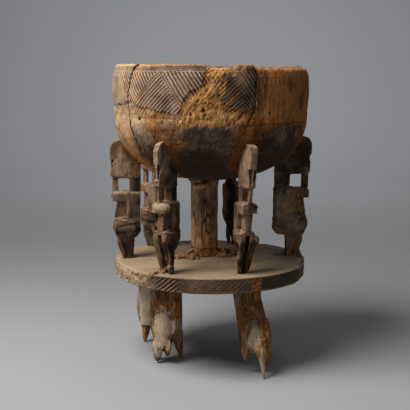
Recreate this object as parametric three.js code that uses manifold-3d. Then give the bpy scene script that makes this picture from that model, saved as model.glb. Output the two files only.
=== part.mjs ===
// A carved wooden vessel: a deep round bowl held up by a ring of seated figures and a centre
// column, all on a round platform with four eroded stump legs. Millimetres, +Z up, front is -Y,
// origin on the ground under the middle of the object.
import * as THREE from 'three';
import { mergeVertices } from 'three/addons/utils/BufferGeometryUtils.js';
import Module from 'manifold-3d';

const wasm = await Module();
wasm.setup();

// Clearances between neighbouring pieces
const seatGap = 0.3;
const crackGap = 1.8;

// The whole vessel is cut from one log. Bowl, platform, figures and legs are placed by how far
// they lie inside its round surface.
const logRadius = 153;

// Platform and legs
const legHeight = 134;
const platformThickness = 24;
const platformTuck = 0.5;
const platformBevel = 2;
const legTopRadius = 25;
const legToeRadius = 3;
const prongRadius = 11;

// Seated figure: heights are stacked from the soles up
const kneeHeight = 53;
const torsoHeight = 52;
const neckHeight = 22;
const headHeight = 65;
const forearmDepth = 15;
const browDrop = 37;

// Seated figure: reaches are measured outwards from the middle of the foot
const toeReach = 7;
const heelReach = 6;
const kneeReach = 26;
const bellyReach = 24;
const handReach = 26;
const beardReach = 27;
const faceReach = 30;
const backReach = 17.5;
const deepBackReach = 28;
const windowWidth = 17;
const armFront = 3;
const slotDepth = 11;
const seatDepth = 21;
const cheekLength = 14;
const cheekSlope = 0.3;
const faceHollow = 4;

// Seated figure: widths across the body
const footWidth = 16;
const kneeWidth = 26;
const armSpan = 24;
const torsoWidth = 14;
const neckWidth = 13;
const beardWidth = 5.5;
const headWidth = 19;
const crownWidth = 11;
const legSlot = 5;
const armThickness = 2.8;
const noseWidth = 3.4;
const lipRise = 8;

// Bowl
const bowlDepth = 178;
const bellyDepth = 108;
const bellyTuck = 2;
const rimTuck = 6;
const wallThickness = 14;
const floorThickness = 20;
const floorRadius = 46;
const bowlSetDown = 2;
const bellyLean = 4;
const carvingWave = 1;
const rimBreak = 6;
const rimRounding = 3;
const breakBow = 8;

// Column
const columnRadius = 22.5;
const columnX = -8;
const columnY = 25;
const columnFlare = 5;
const rootReach = 34;
const rootHeight = 11;
const rootWidth = 12;

// Radii and levels that follow from the sizes above
const platformRadius = logRadius - platformTuck;
const bellyRadius = logRadius - bellyTuck;
const rimRadius = logRadius - rimTuck;
const platformTop = legHeight + platformThickness;
const shoulderHeight = kneeHeight + torsoHeight;
const chinHeight = shoulderHeight + neckHeight;
const crownHeight = chinHeight + headHeight;
const bowlBottom = platformTop + chinHeight - bowlSetDown;
const bellyTop = bowlBottom + bellyDepth;
const rimTop = bowlBottom + bowlDepth;

// Bearings run from the front (-Y) towards +X, in degrees
// Two staves of the wall have split off: near is the crack that shows, with its wander at the
// break, the belly and the rim, and lift is the height of the break over the bowl's underside
const leftStave = { near: -52, far: -126, lift: 29, wander: [2, -2.5, 3.4] };
const rightStave = { near: 25, far: 98, lift: 88, wander: [-3, -0.6, 0.6] };

// inset is how far the feet stand inside the log's surface, lean how far the crown stands out past
// them, slim the share of the full reach from back to front, and crownLoss how much of the head's
// top is worn away. tall is a figure's share of the full height, if it isn't 1.
const seatedFigures = [
  { name: 'figure_left', bearing: -89, inset: 26, turn: 0, lean: 0, slim: 1, crownLoss: 6 },
  { name: 'figure_front_left', bearing: -29, inset: 29, turn: -5, lean: 8, slim: 0.88, crownLoss: 0 },
  { name: 'figure_front_right', bearing: 22.5, inset: 35, turn: 0, lean: 21, slim: 0.72, crownLoss: 2 },
  { name: 'figure_right', bearing: 99, inset: 24, turn: 0, lean: 4, slim: 1, crownLoss: 8, deep: true, tall: 1.045 },
  { name: 'figure_back_left', bearing: -136, inset: 19, turn: 0, lean: 0, slim: 1, crownLoss: 3 },
  { name: 'figure_back_right', bearing: 163.5, inset: 24, turn: 0, lean: 0, slim: 0.95, crownLoss: 2 },
];

// A leg's top lies at a bearing and an inset from the log's surface. Its waist and prongs are
// shifts in X and Y from there, girth is its share of the full leg radius, and a prong's lift is
// its height over the ground.
const legs = [
  {
    name: 'leg_front_left', bearing: -57.5, inset: 74.8, waist: [0, 4], girth: 1, seed: 1,
    prongs: [{ shift: [-17, 8], lift: 0 }, { shift: [0, -4], lift: 9 }, { shift: [20, 18], lift: 0 }],
  },
  {
    name: 'leg_front_right', bearing: 36.6, inset: 55.8, waist: [11, -18], girth: 0.9, seed: 2,
    prongs: [{ shift: [-4, -22], lift: 19 }, { shift: [28, -28], lift: 16 }, { shift: [22, -46], lift: 0 }],
  },
  {
    name: 'leg_back_left', bearing: -118, inset: 46.5, waist: [-4, 4], girth: 0.95, seed: 3,
    prongs: [{ shift: [-13, 12], lift: 0 }, { shift: [6, -4], lift: 0 }],
  },
  {
    name: 'leg_back_right', bearing: 137.6, inset: 61, waist: [2, 4], girth: 0.9, seed: 4,
    prongs: [{ shift: [-8, 16], lift: 0 }, { shift: [10, -2], lift: 0 }],
  },
];

// Stretches of the rim that have broken low, with the least and the ragged share of rimBreak lost
const brokenRim = [
  { from: -3, to: 12, least: 1, ragged: 0 },
  { from: rightStave.near, to: rightStave.far, least: 0.6, ragged: 0.4 },
  { from: rightStave.far, to: 180, least: 0, ragged: 0.5 },
  { from: -180, to: leftStave.far, least: 0, ragged: 0.5 },
];
const soundRim = { least: 0, ragged: 0.15 };

// Worn stretches of the platform's edge, each a soft dip round a bearing
const wornEdges = [
  { bearing: -74, width: 12, depth: 3 },
  { bearing: -58, width: 5, depth: 2 },
  { bearing: 70, width: 3, depth: 3 },
  { bearing: 84, width: 6, depth: 5 },
  { bearing: 160, width: 14, depth: 2 },
];

// Roots at the column's foot, each with its share of rootReach
const roots = [
  { bearing: -75, share: 1 },
  { bearing: -48, share: 0.62 },
  { bearing: 80, share: 0.5 },
  { bearing: 118, share: 0.95 },
];

const radians = THREE.MathUtils.degToRad;

// The point at a bearing and a distance from the middle of the log
function atBearing(bearing, distance, level = 0) {
  const angle = radians(bearing);
  return new THREE.Vector3(distance * Math.sin(angle), -distance * Math.cos(angle), level);
}

// Turns a closed BufferGeometry into a solid, with its faces pointing out
function solidFrom(geometry) {
  const bare = geometry.index ? geometry.toNonIndexed() : geometry.clone();
  bare.deleteAttribute('normal');
  bare.deleteAttribute('uv');
  const welded = mergeVertices(bare, 1e-3);
  const spots = welded.getAttribute('position').array;
  const corners = [];
  const index = welded.index.array;
  for (let i = 0; i < index.length; i += 3) {
    const [a, b, c] = [index[i], index[i + 1], index[i + 2]];
    if (a !== b && b !== c && c !== a) corners.push(a, b, c);
  }
  if (signedVolume(spots, corners) < 0) corners.reverse();
  return new wasm.Manifold(new wasm.Mesh({
    numProp: 3,
    vertProperties: new Float32Array(spots),
    triVerts: new Uint32Array(corners),
  }));
}

function signedVolume(spots, corners) {
  const [a, b, c] = [new THREE.Vector3(), new THREE.Vector3(), new THREE.Vector3()];
  let total = 0;
  for (let i = 0; i < corners.length; i += 3) {
    a.fromArray(spots, corners[i] * 3);
    b.fromArray(spots, corners[i + 1] * 3);
    c.fromArray(spots, corners[i + 2] * 3);
    total += a.dot(b.cross(c));
  }
  return total;
}

function geometryFrom(solid) {
  const data = solid.getMesh();
  const geometry = new THREE.BufferGeometry();
  geometry.setAttribute('position', new THREE.BufferAttribute(new Float32Array(data.vertProperties), 3));
  geometry.setIndex(new THREE.BufferAttribute(new Uint32Array(data.triVerts), 1));
  geometry.computeVertexNormals();
  return geometry;
}

function meshFrom(solid, name, finish) {
  const mesh = new THREE.Mesh(geometryFrom(solid), new THREE.MeshStandardMaterial(finish));
  mesh.name = name;
  return mesh;
}

function shapeFrom(points) {
  return new THREE.Shape(points.map(([x, y]) => new THREE.Vector2(x, y)));
}

// An outline drawn in the X-Z plane, given a thickness across Y about a middle
function sidePrism(points, width, middle = 0) {
  const geometry = new THREE.ExtrudeGeometry(shapeFrom(points), { depth: width, bevelEnabled: false });
  geometry.translate(0, 0, -width / 2 - middle);
  geometry.rotateX(Math.PI / 2);
  return solidFrom(geometry);
}

// An outline drawn in the Y-Z plane, running along X from one place to another
function frontPrism(points, from, to) {
  const geometry = new THREE.ExtrudeGeometry(shapeFrom(points), { depth: to - from, bevelEnabled: false });
  const axes = [new THREE.Vector3(0, 1, 0), new THREE.Vector3(0, 0, 1), new THREE.Vector3(1, 0, 0)];
  geometry.applyMatrix4(new THREE.Matrix4().makeBasis(...axes));
  geometry.translate(from, 0, 0);
  return solidFrom(geometry);
}

// A closed skin over rings that all have the same number of points
function loft(rings) {
  const spots = [];
  const sides = rings[0].length;
  const middle = (ring) => ring.reduce((sum, p) => sum.add(p), new THREE.Vector3()).divideScalar(sides);
  const face = (...points) => points.forEach((p) => spots.push(p.x, p.y, p.z));
  for (let r = 0; r + 1 < rings.length; r += 1) {
    for (let i = 0; i < sides; i += 1) {
      const next = (i + 1) % sides;
      face(rings[r][i], rings[r][next], rings[r + 1][next]);
      face(rings[r][i], rings[r + 1][next], rings[r + 1][i]);
    }
  }
  const [first, last] = [rings[0], rings[rings.length - 1]];
  for (let i = 0; i < sides; i += 1) {
    const next = (i + 1) % sides;
    face(middle(first), first[next], first[i]);
    face(middle(last), last[i], last[next]);
  }
  const geometry = new THREE.BufferGeometry();
  geometry.setAttribute('position', new THREE.Float32BufferAttribute(spots, 3));
  return solidFrom(geometry);
}

// A level, roughly round ring with a few soft corners, as an adze leaves it
function roughRing(x, y, z, radiusX, radiusY, sides, seed) {
  const facetDepth = 0.06;
  const ring = [];
  for (let i = 0; i < sides; i += 1) {
    const angle = (i / sides) * 2 * Math.PI;
    const swell = 1 + facetDepth * Math.cos(3 * angle + seed * 1.7) + (facetDepth / 2) * Math.sin(5 * angle - seed);
    ring.push(new THREE.Vector3(x + radiusX * swell * Math.cos(angle), y + radiusY * swell * Math.sin(angle), z));
  }
  return ring;
}

// Bowl

const roundSides = 60;
const bellyExponent = 2.3;

// Radius of a round-cornered belly at a share of its depth, 0 at the bottom and 1 at its top
function bellyShare(share) {
  return (1 - (1 - share) ** bellyExponent) ** (1 / bellyExponent);
}

// Outer line of the bowl from the axis up to the rim, set out by a distance
function outerLine(out) {
  const line = [[0, bowlBottom - out]];
  const steps = 8;
  const crowding = 2.2;
  for (let i = 1; i <= steps; i += 1) {
    const share = (i / steps) ** crowding;
    line.push([bellyRadius * bellyShare(share) + out, bowlBottom + bellyDepth * share - out * (1 - share)]);
  }
  const wallHeight = rimTop - bellyTop;
  const [widestShare, narrowingShare] = [0.4, 0.75];
  line.push([logRadius + out, bellyTop + wallHeight * widestShare]);
  line.push([logRadius - rimTuck / 6 + out, bellyTop + wallHeight * narrowingShare]);
  line.push([rimRadius + rimRounding / 2 + out, rimTop - rimRounding]);
  return line;
}

// Inner line of the bowl from the rim down to the flat floor and the axis
function innerLine() {
  const floorLevel = bowlBottom + floorThickness;
  const insideDepth = bellyTop - floorLevel;
  const insideRadius = bellyRadius - wallThickness;
  const line = [[rimRadius - wallThickness + rimRounding / 2, rimTop - rimRounding]];
  const steps = 6;
  for (let i = steps; i >= 1; i -= 1) {
    const share = (i / steps) ** 2;
    const spread = floorRadius + (insideRadius - floorRadius) * bellyShare(share);
    line.push([spread, floorLevel + insideDepth * share]);
  }
  line.push([floorRadius, floorLevel]);
  line.push([0, floorLevel]);
  return line;
}

// How far the broken rim lies under its full height at a bearing
function rimLoss(bearing) {
  const ragged = 0.5 + 0.5 * Math.sin(bearing * 0.9) * Math.sin(bearing * 0.37 + 1);
  const { least, ragged: share } = brokenRim.find(({ from, to }) => bearing > from && bearing < to) ?? soundRim;
  return rimBreak * (least + share * ragged);
}

// Full turn of a profile, then the small unevenness of hand carving is laid over it
function turnedBowl(profile) {
  const points = profile.map(([radius, level]) => new THREE.Vector2(radius, level));
  const geometry = new THREE.LatheGeometry(points, roundSides);
  geometry.rotateX(Math.PI / 2);
  const spots = geometry.getAttribute('position');
  for (let i = 0; i < spots.count; i += 1) {
    const [x, y, z] = [spots.getX(i), spots.getY(i), spots.getZ(i)];
    const angle = Math.atan2(x, -y);
    const bearing = Math.round(THREE.MathUtils.radToDeg(angle) * 1000) / 1000;
    const below = THREE.MathUtils.clamp((bellyTop - z) / bellyDepth, 0, 1);
    const above = THREE.MathUtils.smoothstep(z, rimTop - rimBreak * 2, rimTop);
    const radius = Math.hypot(x, y);
    const wave = carvingWave * (Math.sin(2 * angle + 0.6) + 0.6 * Math.sin(5 * angle + 1.9));
    const grown = radius < 1 ? 1 : 1 + wave / logRadius;
    spots.setXYZ(i, x * grown - bellyLean * below * below, y * grown, z - rimLoss(bearing) * above);
  }
  return geometry;
}

function bowlSolid() {
  const rimLine = [
    [rimRadius - rimRounding / 2, rimTop],
    [rimRadius - wallThickness + rimRounding * 1.3, rimTop],
  ];
  return solidFrom(turnedBowl([...outerLine(0), ...rimLine, ...innerLine()]));
}

// The bowl's outside grown by the seating gap, to cut what meets it
function bowlCutter() {
  const top = rimTop + 1;
  return turnedBowl([...outerLine(seatGap), [rimRadius, top], [0, top]]);
}

// A wedge between a wandering split and a straight one, from a bowed break up past the rim
function staveWedge(stave, open) {
  const reach = logRadius * 1.3;
  const pastRim = 10;
  const degreesPerMm = THREE.MathUtils.radToDeg(1 / logRadius);
  const side = Math.sign(stave.far - stave.near);
  const crack = open ? side * crackGap * degreesPerMm : 0;
  const joint = open ? side * seatGap * 2 * degreesPerMm : 0;
  const rise = open ? seatGap * 2 : 0;
  const levels = [bowlBottom + stave.lift + rise, bellyTop, rimTop + pastRim];
  const rings = levels.map((level, i) => {
    const near = stave.near + stave.wander[i] + crack;
    const far = stave.far - joint;
    const bow = i === 0 ? breakBow : 0;
    const ring = [new THREE.Vector3(0, 0, level)];
    const spokes = 4;
    for (let s = 0; s <= spokes; s += 1) {
      const bearing = THREE.MathUtils.lerp(near, far, s / spokes);
      ring.push(atBearing(bearing, reach, level + bow * Math.sin((s / spokes) * Math.PI)));
    }
    return ring;
  });
  return loft(rings);
}

const bowlFull = bowlSolid();
const bowlMain = bowlFull.subtract(staveWedge(leftStave, false)).subtract(staveWedge(rightStave, false));

// Seated figure, facing +X, standing on Z = 0

// Whole outline from the side, toe first and then up the front
function figureSide(back, crown) {
  const kneeSoft = 6;
  const bellyLow = kneeHeight + 8;
  const forearmLow = shoulderHeight - forearmDepth;
  const brow = crownHeight - browDrop;
  const seatUnder = kneeHeight - seatDepth;
  return [
    [toeReach, 0],
    [kneeReach - 1, kneeHeight - kneeSoft],
    [kneeReach, kneeHeight],
    [bellyReach, bellyLow],
    [bellyReach - 1, bellyLow + 8],
    [bellyReach - 5, forearmLow],
    [handReach, forearmLow],
    [handReach + 0.5, shoulderHeight - kneeSoft],
    [handReach - 1, shoulderHeight],
    [beardReach, shoulderHeight],
    [beardReach - 0.5, chinHeight],
    [faceReach - 1.5, chinHeight + 1],
    [faceReach - 1.5, chinHeight + lipRise],
    [faceReach - 1, brow - 2],
    [faceReach, brow],
    [faceReach, crown - 12],
    [faceReach - 5, crown - 3],
    [faceReach - 14, crown],
    [-back, crown],
    [-back - 0.5, chinHeight],
    [-back, shoulderHeight],
    [-back + 1, kneeHeight + 14],
    [-back - 0.5, kneeHeight - 12],
    [-back + 5, seatUnder + 2],
    [-heelReach - 2, seatUnder],
    [-heelReach, 0],
  ];
}

// Half of the outline from the front as [half width, height], mirrored into a whole one
function figureFront(crown) {
  const half = [
    [footWidth / 2, 0],
    [footWidth / 2 + 0.5, 8],
    [kneeWidth / 2 - 2, kneeHeight * 0.6],
    [kneeWidth / 2, kneeHeight - 7],
    [kneeWidth / 2, kneeHeight + 5],
    [armSpan / 2 - 1, kneeHeight + 13],
    [armSpan / 2, shoulderHeight - forearmDepth],
    [armSpan / 2, shoulderHeight - 3],
    [armSpan / 2 - 2, shoulderHeight],
    [neckWidth / 2, shoulderHeight],
    [neckWidth / 2, chinHeight],
    [headWidth / 2 - 1, chinHeight],
    [headWidth / 2, chinHeight + 12],
    [headWidth / 2, crown - 28],
    [headWidth / 2 - 1.5, crown - 12],
    [crownWidth / 2, crown],
  ];
  return [...half, ...half.slice().reverse().map(([y, z]) => [-y, z])];
}

// The opening between beard and neck, seen from the side
function neckWindow(deep) {
  const sill = 1.5;
  const far = deep ? -4 : 0;
  const near = deep ? windowWidth - 2 : windowWidth;
  const [low, high] = [shoulderHeight + sill, chinHeight - sill];
  return sidePrism([[far, low], [near, low], [near, high], [far, high]], armSpan * 2);
}

// A block on both sides of the body, from an inner to an outer half width
function bothSides(points, inner, outer) {
  const middle = (inner + outer) / 2;
  return sidePrism(points, outer - inner, middle).add(sidePrism(points, outer - inner, -middle));
}

// Wood taken away beside the torso, so that the upper arms stand as thin slabs
function armHollows() {
  const low = kneeHeight + 10;
  const high = shoulderHeight - forearmDepth;
  const past = faceReach * 2;
  const front = [[armFront, low + 3], [past, low - 4], [past, high], [armFront, high]];
  const slot = [
    [armFront - slotDepth, low + 6],
    [armFront + 1, low + 3],
    [armFront + 1, high],
    [armFront - slotDepth, high],
  ];
  return bothSides(front, torsoWidth / 2, armSpan)
    .add(bothSides(slot, torsoWidth / 2, armSpan / 2 - armThickness));
}

// Wood taken away beside the beard, which stands alone in front of the neck
function beardHollows() {
  const from = windowWidth - 4;
  const past = faceReach * 2;
  const points = [[from, shoulderHeight], [past, shoulderHeight], [past, chinHeight], [from, chinHeight]];
  return bothSides(points, beardWidth / 2, headWidth);
}

// The gap between the legs, wider at the knees, closed behind under the seat
function legGap(back) {
  const halfTop = legSlot / 2 + 0.8;
  const halfFoot = legSlot / 2 - 1.2;
  const kneeTop = kneeHeight + 5;
  const seatUnder = kneeHeight - seatDepth;
  const front = [[-halfFoot, -1], [halfFoot, -1], [halfTop, kneeTop], [-halfTop, kneeTop]];
  const rear = [[-halfFoot, -1], [halfFoot, -1], [halfTop, seatUnder], [-halfTop, seatUnder]];
  return frontPrism(front, 4, kneeReach * 2).add(frontPrism(rear, -back - 5, 5));
}

// Two narrow three-cornered hollows leave an arrow nose between them under the brow
function faceHollows() {
  const brow = crownHeight - browDrop;
  const cheek = headWidth / 2 - 2;
  const right = [[noseWidth / 2, brow], [cheek, brow], [noseWidth / 2 + 0.8, chinHeight + lipRise]];
  const left = right.map(([y, z]) => [-y, z]).reverse();
  const from = faceReach - faceHollow;
  return frontPrism(right, from, faceReach * 2).add(frontPrism(left, from, faceReach * 2));
}

// Wedges that slope the sides of the head in towards the face
function cheekPlanes() {
  const past = faceReach + 4;
  const start = faceReach - cheekLength;
  const half = headWidth / 2;
  const planes = [1, -1].map((side) => loft([chinHeight, crownHeight + 1].map((level) => [
    new THREE.Vector3(start, side * half, level),
    new THREE.Vector3(past, side * (half - cheekSlope * (past - start)), level),
    new THREE.Vector3(past, side * (half + 5), level),
    new THREE.Vector3(start, side * (half + 5), level),
  ])));
  return planes[0].add(planes[1]);
}

function figureSolid(spec) {
  const back = spec.deep ? deepBackReach : backReach;
  const crown = crownHeight - spec.crownLoss;
  return sidePrism(figureSide(back, crown), kneeWidth * 2)
    .intersect(frontPrism(figureFront(crown), -back - 10, faceReach * 2))
    .subtract(neckWindow(spec.deep))
    .subtract(armHollows())
    .subtract(beardHollows())
    .subtract(legGap(back))
    .subtract(cheekPlanes())
    .subtract(faceHollows());
}

// A figure in its own turned frame: slimmed and leaned, then cut where its head meets the bowl
function seatedFigure(spec, cutter, finish) {
  const spot = new THREE.Object3D();
  spot.position.copy(atBearing(spec.bearing, logRadius - spec.inset, platformTop + seatGap));
  spot.rotation.z = radians(spec.bearing + spec.turn - 90);
  spot.updateMatrix();
  const shear = spec.lean / crownHeight;
  const tall = spec.tall ?? 1;
  const stance = new THREE.Matrix4().set(spec.slim, 0, shear, 0, 0, 1, 0, 0, 0, 0, tall, 0, 0, 0, 0, 1);
  const posed = solidFrom(geometryFrom(figureSolid(spec)).applyMatrix4(stance));
  const bowlThere = solidFrom(cutter.clone().applyMatrix4(spot.matrix.clone().invert()));
  const mesh = meshFrom(posed.subtract(bowlThere), spec.name, finish);
  mesh.position.copy(spot.position);
  mesh.rotation.copy(spot.rotation);
  return mesh;
}

// Column, platform and legs

function columnSolid(cutter) {
  const sides = 10;
  const flareDepth = 14;
  const intoBowl = 12;
  const stations = [
    { level: platformTop, grown: columnFlare / 2, seed: 1 },
    { level: platformTop + rootHeight, grown: 0, seed: 1 },
    { level: (platformTop + bowlBottom) / 2, grown: 0, seed: 1.2 },
    { level: bowlBottom - flareDepth, grown: 0, seed: 1.3 },
    { level: bowlBottom + intoBowl, grown: columnFlare, seed: 1.3 },
  ];
  const rings = stations.map(({ level, grown, seed }) => {
    const radius = columnRadius + grown;
    return roughRing(columnX, columnY, level, radius, radius, sides, seed);
  });
  const whole = roots.reduce((sum, root) => sum.add(rootSolid(root)), loft(rings));
  return whole.subtract(solidFrom(cutter));
}

// A low eroded root that runs out from the foot of the column over the platform
function rootSolid(root) {
  const along = atBearing(root.bearing, 1);
  const across = new THREE.Vector3(-along.y, along.x, 0);
  const reach = rootReach * root.share;
  const stations = [
    { out: columnRadius / 2, wide: rootWidth, high: rootHeight },
    { out: columnRadius + reach / 2, wide: rootWidth * 0.8, high: rootHeight * 0.6 },
    { out: columnRadius + reach, wide: rootWidth / 3, high: rootHeight / 4 },
  ];
  const rings = stations.map(({ out, wide, high }) => {
    const centre = new THREE.Vector3(columnX, columnY, platformTop).addScaledVector(along, out);
    const spot = (side, up) => centre.clone().addScaledVector(across, side * wide).setZ(platformTop + up * high);
    return [spot(-1, 0), spot(-0.6, 0.8), spot(0.2, 1), spot(0.8, 0.55), spot(1, 0)];
  });
  return loft(rings);
}

// How far the worn edge of the platform lies inside its full radius at a bearing
function edgeLoss(bearing) {
  const dips = wornEdges.map((worn) => worn.depth * Math.exp(-(((bearing - worn.bearing) / worn.width) ** 2)));
  return dips.reduce((sum, dip) => sum + dip);
}

function platformSolid() {
  const levels = [
    { inset: platformBevel * 1.5, level: legHeight },
    { inset: 0, level: legHeight + platformBevel * 1.5 },
    { inset: 0, level: platformTop - platformBevel },
    { inset: platformBevel, level: platformTop },
  ];
  const rings = levels.map(({ inset, level }) => {
    const ring = [];
    for (let i = 0; i < roundSides; i += 1) {
      const bearing = (i / roundSides) * 360 - 180;
      ring.push(atBearing(bearing, platformRadius - inset - edgeLoss(bearing), level));
    }
    return ring;
  });
  return loft(rings);
}

// A stump leg: a splayed trunk that ends in prongs with small flat toes
function legSolid(leg) {
  const trunkSides = 12;
  const prongSides = 8;
  const toeHeight = 8;
  const shoulderLevel = legHeight * 0.85;
  const waistLevel = legHeight * 0.45;
  const forkLevel = legHeight * 0.26;
  const top = atBearing(leg.bearing, logRadius - leg.inset);
  const waist = new THREE.Vector3(...leg.waist, 0).add(top);
  const girth = legTopRadius * leg.girth;
  const ringAt = (spot, level, radiusX, radiusY, sides, seed) => (
    roughRing(spot.x, spot.y, level, radiusX, radiusY, sides, seed)
  );
  const trunk = loft([
    ringAt(top, legHeight, girth, girth, trunkSides, leg.seed),
    ringAt(top, shoulderLevel, girth * 0.98, girth * 0.95, trunkSides, leg.seed),
    ringAt(waist, waistLevel, girth * 1.04, girth * 0.9, trunkSides, leg.seed + 0.3),
    ringAt(waist, forkLevel, girth * 0.85, girth * 0.7, trunkSides, leg.seed + 0.6),
  ]);
  const inward = 0.45;
  return leg.prongs.reduce((sum, prong) => {
    const toe = new THREE.Vector3(...prong.shift, 0).add(top);
    const root = toe.clone().lerp(waist, inward);
    const fork = root.clone().lerp(toe, 0.5);
    const rings = [
      ringAt(root, waistLevel, prongRadius, prongRadius, prongSides, leg.seed),
      ringAt(fork, forkLevel, prongRadius * 0.95, prongRadius * 0.85, prongSides, leg.seed),
      ringAt(toe, prong.lift + toeHeight, legToeRadius * 1.9, legToeRadius * 1.6, prongSides, leg.seed),
      ringAt(toe, prong.lift, legToeRadius, legToeRadius, prongSides, leg.seed),
    ];
    return sum.add(loft(rings));
  }, trunk);
}

// Finishes as the wood shows them: raw eroded wood, smoky figures and a dusty platform
const rawWood = { color: 0xa97b45, roughness: 0.9, metalness: 0 };
const smokyWood = { color: 0x6b5442, roughness: 0.72, metalness: 0 };
const dustyWood = { color: 0x8f7a60, roughness: 0.88, metalness: 0 };
const stumpWood = { color: 0x947457, roughness: 0.88, metalness: 0 };

const vessel = new THREE.Group();
const cutter = bowlCutter();
vessel.add(meshFrom(bowlMain, 'bowl', rawWood));
vessel.add(meshFrom(bowlFull.intersect(staveWedge(leftStave, true)), 'bowl_left_stave', rawWood));
vessel.add(meshFrom(bowlFull.intersect(staveWedge(rightStave, true)), 'bowl_right_stave', rawWood));
vessel.add(meshFrom(columnSolid(cutter), 'centre_column', stumpWood));
vessel.add(meshFrom(platformSolid(), 'platform', dustyWood));
for (const spec of seatedFigures) vessel.add(seatedFigure(spec, cutter, smokyWood));
for (const leg of legs) vessel.add(meshFrom(legSolid(leg), leg.name, stumpWood));

export default vessel;
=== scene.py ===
import math
import bpy
import numpy as np
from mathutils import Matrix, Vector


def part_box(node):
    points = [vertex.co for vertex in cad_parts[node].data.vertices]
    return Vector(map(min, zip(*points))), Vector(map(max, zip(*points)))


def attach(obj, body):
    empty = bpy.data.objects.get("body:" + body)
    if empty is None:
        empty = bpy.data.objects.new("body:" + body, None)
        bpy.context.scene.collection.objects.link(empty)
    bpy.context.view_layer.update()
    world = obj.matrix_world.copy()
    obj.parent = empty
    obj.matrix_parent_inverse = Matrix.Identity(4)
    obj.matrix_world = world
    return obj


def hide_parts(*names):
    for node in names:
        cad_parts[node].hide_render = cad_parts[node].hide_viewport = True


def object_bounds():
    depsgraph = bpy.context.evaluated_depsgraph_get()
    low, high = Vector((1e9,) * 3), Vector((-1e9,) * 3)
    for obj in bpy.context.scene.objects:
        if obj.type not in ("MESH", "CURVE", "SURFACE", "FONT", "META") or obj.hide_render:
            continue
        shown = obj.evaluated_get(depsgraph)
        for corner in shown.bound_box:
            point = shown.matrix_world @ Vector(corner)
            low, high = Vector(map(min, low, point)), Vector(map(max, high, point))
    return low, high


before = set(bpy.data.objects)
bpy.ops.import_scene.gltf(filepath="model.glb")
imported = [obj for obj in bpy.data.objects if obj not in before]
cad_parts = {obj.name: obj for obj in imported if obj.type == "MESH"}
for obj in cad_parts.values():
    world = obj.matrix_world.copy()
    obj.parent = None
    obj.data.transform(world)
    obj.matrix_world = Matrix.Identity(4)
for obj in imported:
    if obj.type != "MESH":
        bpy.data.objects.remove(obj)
cadLow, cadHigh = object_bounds()

# Lengths below are millimetres until a mesh is made. Front is -Y, and a bearing runs from the
# front towards +X in degrees.
mm = 0.001
print("frame loaded,", len(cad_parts), "nodes")


# Smooth random values and small array helpers

def noiseLattice(seed):
    rng = np.random.default_rng(seed)
    order = np.tile(rng.permutation(256), 2)
    slopes = rng.normal(size=(256, 3))
    return order, slopes / np.linalg.norm(slopes, axis=1)[:, None]


lattices = [noiseLattice(seed) for seed in range(8)]


def softNoise(points, size, seed=0):
    # about -1 to 1, with bumps of this size in mm: one number, or three for a stretched grain
    order, slopes = lattices[seed % len(lattices)]
    shifted = points / np.asarray(size, float) + 17.3 * (seed + 1)
    cell = np.floor(shifted).astype(np.int64)
    part = shifted - cell
    blend = part ** 3 * (part * (part * 6 - 15) + 10)
    total = np.zeros(len(points))
    for corner in np.ndindex(2, 2, 2):
        key = order[(cell[:, 0] + corner[0]) & 255]
        key = order[(key + cell[:, 1] + corner[1]) & 255]
        key = order[(key + cell[:, 2] + corner[2]) & 255]
        pull = ((part - corner) * slopes[key]).sum(1)
        share = np.ones(len(points))
        for axis in range(3):
            share = share * (blend[:, axis] if corner[axis] else 1 - blend[:, axis])
        total += share * pull
    return total * 1.7


def layeredNoise(points, size, layers=3, seed=0):
    size = np.asarray(size, float)
    return sum(softNoise(points, size / 2 ** k, seed + k) / 2 ** k for k in range(layers)) / 1.5


def unit(value):
    return np.clip(value, 0, 1)


def smoothStep(value, low, high):
    t = unit((value - low) / (high - low))
    return t * t * (3 - 2 * t)


def fadeOut(value, low, high):
    return 1 - smoothStep(value, low, high)


def bell(value, width):
    return np.exp(-(value / width) ** 2)


def plateau(value, width):
    # as a bell, with a flat top and steep sides
    return np.exp(-(value / width) ** 4)


def lineNoise(value, size, seed, shift=0):
    # noise along one measure, such as a bearing or a level
    return softNoise(np.stack([value, 0 * value + shift, 0 * value], -1), size, seed)


def insideDistance(outline, x, y):
    # distance to an outline's edge, positive inside it
    corners = np.asarray(outline, float)
    nearest = np.full(x.shape, 1e9)
    inside = np.zeros(x.shape, bool)
    for (ax, ay), (bx, by) in zip(corners, np.roll(corners, -1, axis=0)):
        runX, runY = bx - ax, by - ay
        t = unit(((x - ax) * runX + (y - ay) * runY) / (runX ** 2 + runY ** 2))
        nearest = np.minimum(nearest, np.hypot(x - ax - t * runX, y - ay - t * runY))
        crosses = (ay > y) != (by > y)
        inside ^= crosses & (x < runX * (y - ay) / (runY if runY else 1e-9) + ax)
    return np.where(inside, nearest, -nearest)


def dirPoint(bearing, distance, level):
    # the point so far from the middle along a bearing
    angle = np.radians(bearing)
    return np.stack([distance * np.sin(angle), -distance * np.cos(angle), level + 0 * angle], -1)


def aside(bearing, middle, radius):
    # mm round the wall from one bearing to another
    return ((bearing - middle + 180) % 360 - 180) * radius * math.radians(1)


def spun(x, y, turn):
    return x * math.cos(turn) - y * math.sin(turn), x * math.sin(turn) + y * math.cos(turn)


# Meshes from arrays, and back

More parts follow.
